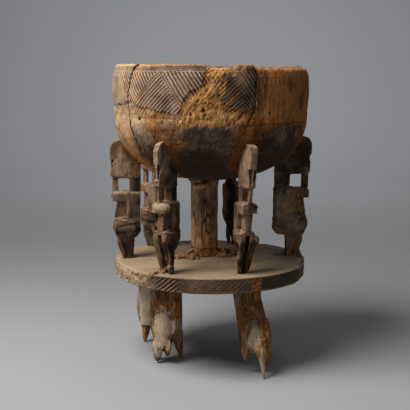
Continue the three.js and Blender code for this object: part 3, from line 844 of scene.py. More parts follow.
def carveBowl(bearing, run):
    # outer surface of the grid: how deep each point lies, and the marks that colour it
    r, z = (values.ravel() for values in onOuter(run))
    b = bearing.ravel()
    at = dirPoint(b, r, z)
    bend = layeredNoise(at, 13.0, 3, 1) * 4.0
    bendOther = layeredNoise(at, 13.0, 3, 4) * 4.0
    # lower down the outlines are in degrees, so arcs are measured at the wall for all of them
    keep, soot, thin = skinLeft(b / degreesPerMm + bend, z + bendOther)
    haloMark = np.zeros(b.shape)
    for (haloBearing, haloLevel), reach in headHalos:
        distance = np.hypot(aside(b, haloBearing, r), np.maximum(0, np.abs(z - haloLevel) - 16))
        keep = np.minimum(keep, distance - reach + bend * 1.2)
        haloMark = np.maximum(haloMark, fadeOut(distance, reach * 0.8, reach * 2.2))
    crumbs = layeredNoise(at, (6, 6, 10), 3, 2)
    # fibres lean as the log's grain does, so their noise is sheared round the wall
    slope = np.interp(b, [-60, -35, -5, 20, 25, 27], [0, 0.08, 0.22, 0.2, 0.1, 0])
    leaning = dirPoint(b - (z - 400) * slope, r, z)
    strands = layeredNoise(leaning, (2.2, 2.2, 15.0), 2, 5)
    keep = np.minimum(keep, 12) + crumbs * 3.4 + strands * 3.6
    # the skin ends sharply in the hatched band on the left, and runs out softly elsewhere
    rightPatch = smoothStep(b, -4, 4) * fadeOut(b, 18, 24) * (z > 380)
    soft = 2.4 + 3.4 * fadeOut(z, 388, 396) + 3.0 * rightPatch
    skin = smoothStep(keep, -0.5 * soft, 0.5 * soft)
    rubbed = 0.42 * np.exp(-np.maximum(keep, 0) / 4.5)
    rubbed = rubbed + 0.3 * smoothStep(layeredNoise(at, (9, 9, 16), 3, 6), 0.1, 0.5)
    rubbed = rubbed * (1 - 0.5 * (z < 376)) + thin * smoothStep(strands + 0.6 * crumbs, -0.4, 0.3)
    rubbed = rubbed + 0.5 * rightPatch * smoothStep(layeredNoise(leaning, (10, 10, 16), 3, 0), -0.05, 0.35)
    nearEdge = bell(keep + 1.5, 2.5)

    lines = zigzagDepth(b, z + softNoise(at, 18.0, 6) * 0.7)
    faint = np.where((b > -58) & (b < 26), 1.0, 0.65)
    faint = np.where((b > 24.6) & (b < 98), 0.35, faint) * (0.72 + 0.28 * softNoise(at, 20.0, 7))
    lines = unit(lines * faint)
    # grooves run on shallowly a little way under the worn edge
    ghost = 0.8 * smoothStep(keep, -24, -2) * (1 - skin) * smoothStep(softNoise(at, 15.0, 5), -0.5, 0.3)
    lines = lines * (1 - 0.4 * rightPatch)
    groove = hatch["depth"] * lines * (skin + ghost)

    lumps = layeredNoise(at, (14, 14, 20), 3, 5)
    strips = softNoise(leaning, (2.4, 2.4, 22.0), 6)
    # torn wood breaks off in small ledges
    climb = layeredNoise(leaning, (9.0, 9.0, 17.0), 3, 4) * 3.2
    torn = {
        "fibre": layeredNoise(leaning, (3.0, 3.0, 9.0), 3, 3), "strips": strips,
        "ragged": 1 - np.abs(layeredNoise(leaning, (5.0, 5.0, 11.0), 2, 1)) * 2.2,
        "chips": smoothStep(layeredNoise(leaning, (7.0, 7.0, 15.0), 2, 7), 0.15, 0.6),
        "ledges": np.floor(climb) + smoothStep(climb - np.floor(climb), 0.7, 1.0),
    }
    tooling = softNoise(at, (16, 16, 12), 2) * 0.25
    rough = 0.7 + 0.5 * smoothStep(layeredNoise(at, 40.0, 2, 2), -0.3, 0.3)
    rough = rough * np.where((b > 25) & (b < 98), 0.45, 1)
    rawFall = bowl["rawDepth"] + 0.7 * lumps + 0.3 * nearEdge
    rawFall = rawFall + rough * sum(bowl["torn"][key] * value for key, value in torn.items())
    rawFall = (1 - skin) * np.maximum(rawFall, 0.2) * (0.6 + 0.4 * smoothStep(z, 372, 385))
    depth = bowl["skinInset"] + groove + rawFall
    depth = depth - skin * tooling + skin * 0.3 * np.abs(torn["fibre"]) + 0.25
    pitMark = np.zeros(b.shape)
    for pit in pits:
        distance = np.hypot(aside(b, pit["at"][0], r), (z - pit["at"][1]) * 0.8) + bend * 0.35
        hole = fadeOut(distance, pit["radius"] * 0.35, pit["radius"])
        pitMark = np.maximum(pitMark, hole)
        depth = depth + pit["depth"] * hole
    depth, nearEdge, splinters = crackWear(b, z, r, crumbs, depth, nearEdge)

    smoke = np.zeros(b.shape)
    for (smokeBearing, smokeLevel), wide, high, strength in smokeStains:
        away = np.hypot(aside(b, smokeBearing, r) / wide, (z - smokeLevel) / high)
        smoke = np.maximum(smoke, strength * fadeOut(away + 0.35 * strips + 0.3 * lumps, 0.4, 1.3))
    # rust rises towards the right: partly the wood's own orange-brown, partly painted shade on the side
    # turned from the lamp
    shadedRightSide = unit(0.35 + 0.65 * np.sin(np.radians(b)) + 0.5 * lumps)
    rust = 0.5 * shadedRightSide + 0.35 * haloMark + 0.2 * nearEdge + 0.3 * fadeOut(z, 340, 380)
    rust = unit(rust + 0.25 * ((b > 24) & (b < 98)))
    # the worn skin leaves a brown stain round it, and dirt lies in every hollow. The stain also grows
    # towards the bottom, and is stronger on the right and weaker on the lit left as painted shade
    low = fadeOut(z, 372, 382)
    stain = bell(keep + 2, 5.0 + 6 * low) * (0.5 + 0.4 * low)
    stain = stain + 0.4 * smoothStep(layeredNoise(at, (16, 16, 26), 3, 6), 0.0, 0.5)
    stain = stain + 0.35 * haloMark + 0.2 * smoothStep(b, 24, 60) * (b < 130) + smoke
    stain = stain + 0.2 * fadeOut(z, 330, 365) + 0.5 * fadeOut(z, 292, 322)
    stain = stain - 0.3 * smoothStep(-b, 25, 50) * (b > -110)
    hollow = hollows(depth.reshape(run.shape)).ravel()
    rimSmoke = 0.55 * smoothStep(z, 452, 459) * smoothStep(b, -44, -22) * (b < 0)
    streaks = np.maximum(softNoise(at, (12.0, 12.0, 70.0), 1), 0)
    soot = soot + 0.3 * softNoise(at, 24.0, 3) + rimSmoke
    soot = soot - (0.16 * streaks + 0.14 * np.maximum(layeredNoise(at, 18.0, 3, 0), 0)) * low
    soot = soot + (0.3 * fadeOut(z, 318, 366) - 0.12 + 0.28 * strips) * low
    # the skin left of the crack and near it is bleached almost to the raw wood's tone; the paleness
    # over the whole left side is also painted light on the side facing the lamp
    bleachedAndLit = smoothStep(-b, 34, 52) * (b > -120)
    patchy = smoothStep(layeredNoise(leaning, (9, 9, 22), 3, 2), -0.35, 0.25)
    nearCrack = smoothStep(-b, 38, 44) * (b > -58) * (z > 380)
    rubbed = np.maximum.reduce([rubbed, 0.5 * bleachedAndLit * (z > 380), (0.3 + 0.5 * patchy) * nearCrack])
    dark = [1.25 * lines * (skin + 1.6 * ghost), pitMark * 0.9, hollow * 0.8, splinters * 0.8]
    marks = {
        "raw": np.maximum(1 - smoothStep(keep, -soft, soft), rubbed), "soot": unit(soot),
        "line": unit(np.maximum.reduce(dark)), "rust": rust, "stain": unit(stain),
        "pale": 0.58 * bleachedAndLit * smoothStep(z, 326, 386),
    }
    return depth.reshape(run.shape), {key: values.reshape(run.shape) for key, values in marks.items()}


def growth(angle):
    # share by which the log's uneven growth moves the wall out
    return bowl["wave"] * (np.sin(2 * angle + 0.6) + 0.6 * np.sin(5 * angle + 1.9)) / bowl["waveRadius"]


def leanAt(level):
    return bowl["lean"] * unit((bellyTop - level) / bowl["bellyDepth"]) ** 2


def leanAndWave(points):
    # the solid's own unevenness, and the broken rim
    angle = np.arctan2(points[:, 0], -points[:, 1])
    grown = np.where(np.hypot(points[:, 0], points[:, 1]) < 1, 1, 1 + growth(angle))
    above = smoothStep(points[:, 2], rimTop - 2 * bowl["rimLoss"], rimTop)
    moved = points * np.stack([grown, grown, np.ones(len(points))], 1)
    moved[:, 0] -= leanAt(points[:, 2])
    moved[:, 2] -= rimDrop(np.degrees(angle)) * above
    return moved


def shellPoints():
    bearing, run, stops, rowStops = bowlGrid()
    depth, marks = carveBowl(bearing, run)
    # outward direction of the profile at each point
    ahead, behind = onOuter(np.minimum(run + 0.5, outerRun[-1])), onOuter(np.maximum(run - 0.5, 0))
    slopeR, slopeZ = ahead[0] - behind[0], ahead[1] - behind[1]
    length = np.hypot(slopeR, slopeZ)
    radius, level = onOuter(run)
    outside = dirPoint(bearing, radius - depth * slopeZ / length, level + depth * slopeR / length)
    # the inside goes by the same share of its own line
    share = run / outerRun[-1] * innerRun[-1]
    radius, level = (np.interp(share, innerRun, values) for values in inner.T)
    inside = dirPoint(bearing, radius, level)
    flat = inside.reshape(-1, 3)
    adze = layeredNoise(flat, (18, 18, 11), 3, 6) * 0.9 + layeredNoise(flat, (4, 4, 9), 2, 2) * 0.4
    toward = flat * (1, 1, 0)
    toward /= np.maximum(np.linalg.norm(toward, axis=1), 1)[:, None]
    inside = (flat + toward * (adze[:, None] + 0.4)).reshape(inside.shape)
    # a few rows round the rim from the outside's top to the inside's
    rim = []
    for k in range(1, bowl["rimRows"]):
        t = k / bowl["rimRows"]
        spot = outside[:, -1] * (1 - t) + inside[:, -1] * t
        swell = (4 * t * (1 - t)) ** 0.6
        spot[:, 2] += -0.2 + swell * 0.2 + 0.9 * np.minimum(layeredNoise(spot, (4, 4, 4), 3, 3), 0)
        rim.append(spot)
    return outside, np.stack(rim, 1), inside, marks, stops, rowStops


def shellPiece(name, keep, points, ids, marks, material, poleIds):
    # the outside, the inside and the rim over the kept cells, closed wherever they end
    outIds, rimIds, inIds = ids
    top = keep[:, -1]
    band = np.concatenate([outIds[:, -1:], rimIds, inIds[:, -1:]], axis=1)
    faces = [
        gridFaces(outIds, keep), gridFaces(inIds, keep, True),
        gridFaces(band, np.repeat(top[:, None], band.shape[1] - 1, 1)),
    ]
    before = np.roll(keep, 1, axis=0)
    i, j = np.nonzero(keep != before)
    wall = np.stack([outIds[i, j], outIds[i, j + 1], inIds[i, j + 1], inIds[i, j]], 1)
    turned = before[i, j]
    wall[turned] = wall[turned][:, ::-1]
    padded = np.pad(keep, ((0, 0), (1, 1)))
    padded[:, -1] = padded[:, -2]
    padded[:, 0] = padded[:, 1] if poleIds else False
    i, j = np.nonzero(padded[:, 1:] != padded[:, :-1])
    ring, after = ringOf(keep.shape[0])
    ledge = np.stack([outIds[i, j], outIds[after[i], j], inIds[after[i], j], inIds[i, j]], 1)
    turned = padded[i, j]
    ledge[turned] = ledge[turned][:, ::-1]
    quads = np.concatenate(faces + [wall[:, ::-1], ledge[:, ::-1]])
    triangles = [np.zeros((0, 3), int)]
    # the rim's ends at the cracks
    for column in np.nonzero(top != np.roll(top, 1))[0]:
        loop = band[column]
        fan = np.stack([np.full(len(loop) - 2, loop[0]), loop[1:-1], loop[2:]], 1)
        triangles.append(fan if top[column] else fan[:, ::-1])
    if poleIds:
        below, above = poleIds
        triangles.append(np.stack([outIds[after, 0], outIds[ring, 0], 0 * ring + below], 1))
        triangles.append(np.stack([inIds[ring, 0], inIds[after, 0], 0 * ring + above], 1))
    triangles = np.concatenate(triangles)
    used = np.unique(np.concatenate([quads.ravel(), triangles.ravel()]))
    renamed = np.zeros(len(points), int)
    renamed[used] = np.arange(len(used))
    marks = {key: values[used] for key, values in marks.items()}
    mesh = meshOf(f"{name}_carved", points[used], [renamed[quads], renamed[triangles]], marks)
    mesh = thinned(mesh, 2 * len(quads) + len(triangles), bowl["trianglesEach"])
    print(name, len(mesh.polygons), "faces")
    placePiece(f"{name}_carved", mesh, material, [name])


rawWoodLook = {
    "gloss": 0.12, "bump": 0.7,
    "tones": {
        "Skin Light": "b99e87", "Skin Deep": "735540", "Soot": "25170b", "Raw Light": "d9a76c",
        "Raw Deep": "8f592b", "Rust": "8e5222", "Stain": "452b18", "Dust": "c2af96",
    },
    "grain": {
        "Dust Amount": 0.15, "Fibre Size": 1.5, "Fibre Length": 9.0, "Blotch Size": 22.0, "Edge Rub": 0.45,
    },
}


def buildBowl():
    outside, rim, inside, marks, stops, rowStops = shellPoints()
    columns, rows = outside.shape[:2]
    poles = np.array([[0, 0, bowlLow + 0.4], [0, 0, floorLevel]])
    points = np.concatenate([outside.reshape(-1, 3), rim.reshape(-1, 3), inside.reshape(-1, 3), poles])
    points = keepInside(leanAndWave(points))
    count, total = columns * rows, len(points)
    outIds = np.arange(count).reshape(columns, rows)
    rimIds = count + np.arange(rim.shape[0] * rim.shape[1]).reshape(rim.shape[:2])
    inIds = rimIds.max() + 1 + outIds
    # the rim and the inside have the same values all over
    hidden = {"raw": 1.0, "soot": 0.6, "line": 0.0, "rust": 0.5, "stain": 0.6, "pale": 0.0}
    allMarks = {key: np.full(total, value) for key, value in hidden.items()}
    for key, value in marks.items():
        allMarks[key][:count] = value.ravel()
    allMarks["raw"][inIds.ravel()] = 0.55
    cell = np.zeros((columns, rows - 1), int)
    # each stave lies between its crack and its seam, with one open column on either side
    for stave, column, row in ((1, 0, 1), (2, 4, 3)):
        cell[stops[column]:stops[column + 3], rowStops[row]:] = -1
        cell[stops[column + 1]:stops[column + 2], rowStops[row + 1]:] = stave
    material = woodMaterial("bowl wood", rawWoodLook)
    for piece, name in enumerate(("bowl", "bowl_left_stave", "bowl_right_stave")):
        poleIds = (total - 2, total - 1) if name == "bowl" else None
        shellPiece(name, cell == piece, points, (outIds, rimIds, inIds), allMarks, material, poleIds)


buildBowl()
print("bowl built")


# Pieces that start from the solids: the carved lumps are merged in, rounded, then worn

def eggOf(rings, sides):
    # points and triangles of a ball of radius 1
    ball = [[0, 0, 1]]
    around = np.arange(sides) / sides * 2 * np.pi
    for p in np.arange(1, rings) / rings * np.pi:
        ball += [[np.sin(p) * np.cos(a), np.sin(p) * np.sin(a), np.cos(p)] for a in around]
    ball.append([0, 0, -1])
    ring, after = ringOf(sides)
    faces = [np.stack([0 * ring, 1 + ring, 1 + after], 1)]
    for low in range(1, 1 + (rings - 2) * sides, sides):
        high = low + sides
        faces.append(np.stack([low + ring, high + ring, high + after], 1))
        faces.append(np.stack([low + ring, high + after, low + after], 1))
    last = 1 + (rings - 2) * sides
    faces.append(np.stack([last + ring, 0 * ring + len(ball) - 1, last + after], 1))
    return np.array(ball), np.concatenate(faces)


eggPoints, eggFaces = eggOf(9, 14)


def lump(centre, radii, bearing=0.0, tilt=0.0):
    # an egg of wood, its first axis pointing along the bearing and tilted down
    x, y, z = (eggPoints * radii).T
    x, z = spun(x, z, -math.radians(tilt))
    x, y = spun(x, y, math.radians(bearing))
    return np.stack([x, y, z], 1) + centre, eggFaces


def spike(start, end, thickness):
    # a tapering six-sided splinter between two points
    start, end = np.array(start, float), np.array(end, float)
    along = (end - start) / np.linalg.norm(end - start)
    across = np.cross(along, (0.31, 0.95, 0.05))
    across /= np.linalg.norm(across)
    other = np.cross(along, across)
    angles = np.arange(6) / 6 * 2 * np.pi
    ring = np.outer(np.cos(angles), across) + np.outer(np.sin(angles), other)
    middle = (start + end) / 2 + ring * thickness * 0.7
    points = np.concatenate([start + ring * thickness, middle, end + ring * 0.4, [start], [end]])
    k, after = ringOf(6)
    faces = []
    for low, high in ((0, 6), (6, 12)):
        faces.append(np.stack([low + k, low + after, high + after], 1))
        faces.append(np.stack([low + k, high + after, high + k], 1))
    faces.append(np.stack([after, k, 0 * k + 18], 1))
    faces.append(np.stack([12 + k, 12 + after, 0 * k + 19], 1))
    return points, np.concatenate(faces)


def crumbHeaps(heaps, rng):
    # eroded wood lying on the platform: (x, y), half widths, how many crumbs, how high
    parts = []
    for (x, y), (wide, deep), count, high in heaps:
        if high > 7:
            parts.append(lump((x, y, platformTop - 1), (wide, deep, high * 0.6)))
        for _ in range(count):
            offX, offY = rng.normal(0, wide * 0.55), rng.normal(0, deep * 0.55)
            fall = math.exp(-(offX / wide) ** 2 - (offY / deep) ** 2)
            size = rng.uniform(1.3, 2.9)
            centre = (x + offX, y + offY, platformTop - 0.5 + rng.uniform(0.3, 1) * high * fall)
            radii = (size * 1.5, size, size * 0.9)
            parts.append(lump(centre, radii, rng.uniform(0, 180), rng.uniform(-35, 35)))
    return parts


def merged(parts, voxel):
    # one closed skin round all the parts
    starts = np.cumsum([0] + [len(points) for points, _ in parts[:-1]])
    points = np.concatenate([points for points, _ in parts])
    faces = np.concatenate([faces + start for (_, faces), start in zip(parts, starts)])
    mesh = meshOf("merged", points, [faces])
    return arraysOf(withModifier(mesh, "REMESH", mode="VOXEL", voxel_size=voxel * mm))


def edgesOf(faces):
    # both ends of each triangle's sides
    ends = np.concatenate([faces[:, [0, 1]], faces[:, [1, 2]], faces[:, [2, 0]]])
    return ends[:, 0], ends[:, 1]


def rounded(points, faces, rounds):
    # smoothing that keeps the volume
    first, second = edgesOf(faces)
    share = np.maximum(np.bincount(first, minlength=len(points)), 1)[:, None]
    for turn in range(rounds * 2):
        pull = np.stack([np.bincount(first, points[second, axis], len(points)) for axis in range(3)], 1)
        points = points + (0.5, -0.52)[turn % 2] * (pull / share - points)
    return points


def hollowsOn(depth, faces):
    # as hollows does for a grid, over any mesh of triangles
    first, second = edgesOf(faces)
    share = np.maximum(np.bincount(first, minlength=len(depth)), 1)
    mean = depth
    for _ in range(5):
        mean = 0.5 * mean + 0.5 * np.bincount(first, mean[second], len(depth)) / share
    return smoothStep(depth - mean, 0.06, 0.4)


def overBowl(points):
    # how far points lie outside the bowl's surface
    x, y, z = points.T
    x = x + leanAt(z)
    radius = np.hypot(x, y) / (1 + growth(np.arctan2(x, -y)))
    nearest = np.full(len(points), 1e9)
    line = outer[::6]
    for (ar, az), (br, bz) in zip(line, line[1:]):
        run, rise = br - ar, bz - az
        t = unit(((radius - ar) * run + (z - az) * rise) / (run ** 2 + rise ** 2))
        offR, offZ = radius - ar - t * run, z - az - t * rise
        distance = np.hypot(offR, offZ)
        side = np.where(offR * rise - offZ * run >= 0, 1, -1)
        nearest = np.where(distance < np.abs(nearest), side * distance, nearest)
    return nearest


def blobMark(points, normals, blobs):
    # patches given as seen from the front: (x, z, half width, half height, strength)
    mark = np.zeros(len(points))
    if not blobs:
        return mark
    ragged = layeredNoise(points, (9, 9, 13), 3, 5) * 0.55
    front = smoothStep(-normals[:, 1], -0.35, 0.1)
    for x, z, wide, high, strength in blobs:
        away = np.hypot((points[:, 0] - x) / wide, (points[:, 2] - z) / high) + ragged
        mark = np.maximum(mark, strength * front * fadeOut(away, 0.8, 1.15))
    return mark


def fissures(points, size, wide, seed):
    # thin splits that run up the grain
    value = np.abs(layeredNoise(points, size, 2, seed))
    patchy = smoothStep(softNoise(points, (30, 30, 60), seed + 1), -0.1, 0.35)
    return fadeOut(value, 0, wide) * patchy


def seatInto(points, over, ground, ceiling=None):
    # tops run on into the bowl or the platform, and soles into what they stand on
    towards = points * (1, 1, 0)
    towards /= np.maximum(np.linalg.norm(towards, axis=1), 1)[:, None]
    towards[:, 2] = 0.5
    moved = points + towards * (-1, -1, 1) * fadeOut(over, 0.8, 2.6)[:, None] * 3.8
    moved[:, 2] -= 2.2 * fadeOut(points[:, 2], ground + 0.4, ground + 2.0)
    if ceiling is not None:
        moved[:, 2] += 2.2 * smoothStep(points[:, 2], ceiling - 2.0, ceiling - 0.4)
    return moved


# Seated figures

figure = {
    "voxel": 0.95, "rounds": 3, "logRadius": 153, "crown": 192,
    "adze": 0.6, "fibre": 0.2, "fissure": 0.6, "rawDepth": 1.1, "cheek": 2.0, "crease": 1.5,
    # the back of the shins, as x at the foot and how far it goes forward by knee height
    "shinFoot": 8.8, "shinForward": 16.2, "kneeHeight": 45,
}
smokyWoodLook = {
    "gloss": 0.18, "bump": 0.6,
    "tones": {
        "Skin Light": "917256", "Skin Deep": "4d3623", "Soot": "1f1308", "Raw Light": "a98256",
        "Raw Deep": "6a4526", "Rust": "74441f", "Stain": "3d291a", "Dust": "ad977d",
    },
    "grain": {
        "Dust Amount": 0.45, "Fibre Size": 1.4, "Fibre Length": 10.0, "Blotch Size": 17.0, "Edge Rub": 0.7,
    },
}
# lumps are (x, y, z) from the middle of the foot, facing +x, then their half sizes
commonLumps = [
    ((20, 0, 98), (9, 12.5, 7)), ((21, 7.5, 51), (6, 5.5, 6.5)), ((27, 0, 129.5), (3.2, 4.2, 1.7)),
    ((27.4, 0, 133.3), (3.0, 3.8, 1.6)), ((5, 4.6, 2), (5.5, 3.6, 3)), ((14, 0, 72), (8, 7.4, 12)),
    ((7, 0, 160), (19, 10.4, 24)), ((8, 7.8, 47), (18, 6.4, 8)), ((0, 9.8, 84), (5, 3.8, 24)),
    ((-8, 6, 46), (9, 8, 13)), ((13, 6.8, 26), (6.5, 6, 27)),
]
# "bearing" is where a figure sits and "inset" how far in. "turn", "lean", "slim" and "tall" change
# its stance. Spikes are (start, end, thickness), heaps (place, half widths, crumbs, height), and the
# other lists are patches as blobMark has them
# dark patches add painted shade to the soot, as between the legs and on sides turned from the lamp, and
# light patches take soot away as painted light where a figure lies in shade
figures = {
    "figure_left": {
        "bearing": -89, "inset": 26, "soot": 0.34,
        "raw": [(-112, 300, 7, 12, 0.6)], "dark": [(-113, 230, 9, 60, 0.45)],
        "pale": [(-136, 300, 13, 24, 0.35), (-132, 208, 16, 12, 0.3)],
    },
    "figure_front_left": {
        "bearing": -29, "inset": 29, "turn": -5, "lean": 8, "slim": 0.88, "soot": 0.25,
        "raw": [(-40, 298, 3, 10, 0.5), (-76, 164, 14, 8, 0.6)],
        # the dark patches paint shade between the shins and on the head's right side, and the narrow pale
        # patch on the head paints a highlight on its lit left facet
        "dark": [(-66, 186, 5, 26, 0.9), (-50, 300, 12, 40, 0.4)],
        "pale": [(-77, 256, 14, 10, 0.7), (-77, 322, 6, 34, 0.5)],
        "spikes": [
            ((-66, -108, 172), (-80, -116, 159), 3.2), ((-64, -112, 168), (-72, -124, 159), 2.6),
            ((-74, -112, 163), (-88, -123, 158), 3.0),
        ],
        "slimFace": 0.24, "browLift": 5.5,
        "lumps": [
            ((19, 2, 98), (11, 15.5, 8.5)), ((14, 9, 8), (9, 5, 7)), ((27, 0, 131.5), (3.8, 4.8, 1.9)),
            ((27.4, 0, 137.5), (3.6, 4.6, 1.9)),
        ],
        "heaps": [((-76, -112), (10, 10), 34, 9), ((-84, -124), (7, 6), 12, 4)],
    },
    "figure_front_right": {
        "bearing": 22.5, "inset": 35, "lean": 21, "slim": 0.72, "soot": 0.2,
        # the first dark patch paints the shadow between the legs
        "raw": [(66, 200, 3, 8, 0.3)], "dark": [(52, 189, 14, 27, 1.0), (57, 258, 11, 8, 0.6)],
        "light": [(52, 326, 16, 24, 0.35)], "pale": [(48, 315, 18, 40, 0.3), (46, 240, 8, 30, 0.2)],
        "calfShade": 0.2,
        "lumps": [((20, 12.5, 51), (7, 7.5, 9)), ((20, 1.5, 99.5), (9.5, 13, 8))],
        "spikes": [((62.5, -119.5, 207), (53, -113, 163), 7.0)],
    },
    "figure_right": {
        "bearing": 99, "inset": 24, "lean": 4, "soot": 0.42, "tall": 1.045,
        # the light patch and the wide pale one paint light on the body, which lies in shade, and the dark
        # patch on the head paints shade
        "raw": [(138, 240, 8, 18, 1), (112, 164, 9, 6, 0.8)], "light": [(122, 205, 28, 62, 0.8)],
        "dark": [(144, 164, 14, 9, 0.9), (140, 330, 30, 40, 0.5)],
        "pale": [(110, 165, 12, 7, 0.8), (116, 215, 26, 56, 0.22)],
        "heaps": [((111, 28), (8, 6), 12, 4), ((137, 24), (8, 9), 20, 6), ((146, 16), (4, 7), 10, 4)],
        "spikes": [
            ((134, 22, 180), (152, 10, 160), 6.0), ((140, 18, 170), (154, 4, 150), 3.4),
            ((127, 26, 168), (107, 25, 159), 2.6), ((127, 22, 166), (103, 15, 158.5), 2.2),
            ((125, 20, 167), (113, 34, 158.5), 2.2),
        ],
    },
    "figure_back_left": {
        "bearing": -136, "inset": 19, "soot": 0.2,
        "raw": [(-88, 255, 22, 40, 1), (-84, 185, 14, 24, 1)], "pale": [(-92, 262, 18, 34, 0.5)],
        "dark": [(-86, 178, 14, 12, 0.6)],
    },
    "figure_back_right": {
        "bearing": 163.5, "inset": 24, "slim": 0.95, "soot": 0.6,
        "light": [(24, 215, 9, 60, 0.6)], "pale": [(23, 225, 5, 50, 0.35)],
    },
}


def bothSides(lumps):
    # a lump that is off the middle has a twin on the other side
    return [((x, y * side, z), radii) for (x, y, z), radii in lumps for side in ((1, -1) if y else (1,))]


def stance(spec):
    # which way a figure is turned, and its place on the platform
    spot = dirPoint(spec["bearing"], figure["logRadius"] - spec["inset"], platformTop)
    return math.radians(spec["bearing"] + spec.get("turn", 0) - 90), spot


def posed(points, spec):
    # from a figure's own frame to its place on the platform
    turn, spot = stance(spec)
    x, y, z = points.T
    x, y = spun(x * spec.get("slim", 1) + z * spec.get("lean", 0) / figure["crown"], y, turn)
    return np.stack([x, y, z * spec.get("tall", 1)], 1) + spot


def unposed(points, spec):
    # the way back into the figure's own frame
    turn, spot = stance(spec)
    x, y, z = (points - spot).T
    x, y = spun(x, y, -turn)
    level = z / spec.get("tall", 1)
    return np.stack([(x - level * spec.get("lean", 0) / figure["crown"]) / spec.get("slim", 1), y, level], 1)


def shinLine(z):
    return figure["shinFoot"] + figure["shinForward"] * z / figure["kneeHeight"]


def figurePlanes(local, slimFace):
    # how wide each part stays: shins narrow backwards, thighs downwards, and the waist is slimmer
    x, y, z = local.T
    shin = unit((shinLine(z) - x - 4) / 13) * fadeOut(z, 34, 44)
    thigh = smoothStep(z, 34, 42) * fadeOut(z, 54, 60) * unit((58 - z) / 18) * (x < 20)
    waist = smoothStep(z, 60, 64) * fadeOut(z, 84, 88) * smoothStep(x, 2, 5)
    nape = smoothStep(z, 124, 134) * unit((10 - x) / 30)
    face = smoothStep(z, 122, 134) * smoothStep(x, 2, 16)
    width = 1 - 0.38 * shin - 0.28 * thigh - 0.2 * waist - 0.2 * nape - slimFace * face
    # the shins slant back to narrow feet
    slant = 4.5 * fadeOut(z, 2, 30) * smoothStep(x, 0, 10)
    return np.stack([x - slant, y * width, z], 1)


def crease(above):
    # sharp on one side and running out softly on the other
    return np.where(above > 0, bell(above, 1.0), bell(above, 4.5))


def faceCarving(local, browLift):
    # the carved hollows beside the nose, and the lines at jaw, thigh, lap, seat and elbow
    x, y, z = local[:, 0], np.abs(local[:, 1]), local[:, 2]
    height = z - browLift
    slant = np.interp(height, [133, 155], [2.6, 7.5])
    cheek = smoothStep(y, 1.4, 2.4) * smoothStep(slant - y, -0.4, 0.8) * smoothStep(height, 133, 135)
    cheek = cheek * fadeOut(height, 154, 156) * smoothStep(x, 21, 25)
    side = smoothStep(y, 7.5, 9.5)
    lines = [
        bell(z - 128.2, 0.9) * smoothStep(x, -10, 24) * 0.8,
        crease(z - 58.5 - 0.16 * (x - 5)) * side * smoothStep(x, -3, 5),
        crease(z - 54.5 + 0.25 * x) * side * fadeOut(x, 12, 18) * 0.8,
        crease(37 - 0.5 * (x + 4) - z) * side * smoothStep(-x, -6, 1),
        crease(5.5 - x) * side * smoothStep(z, 58, 66) * fadeOut(z, 84, 91),
    ]
    return cheek, np.maximum.reduce(lines)


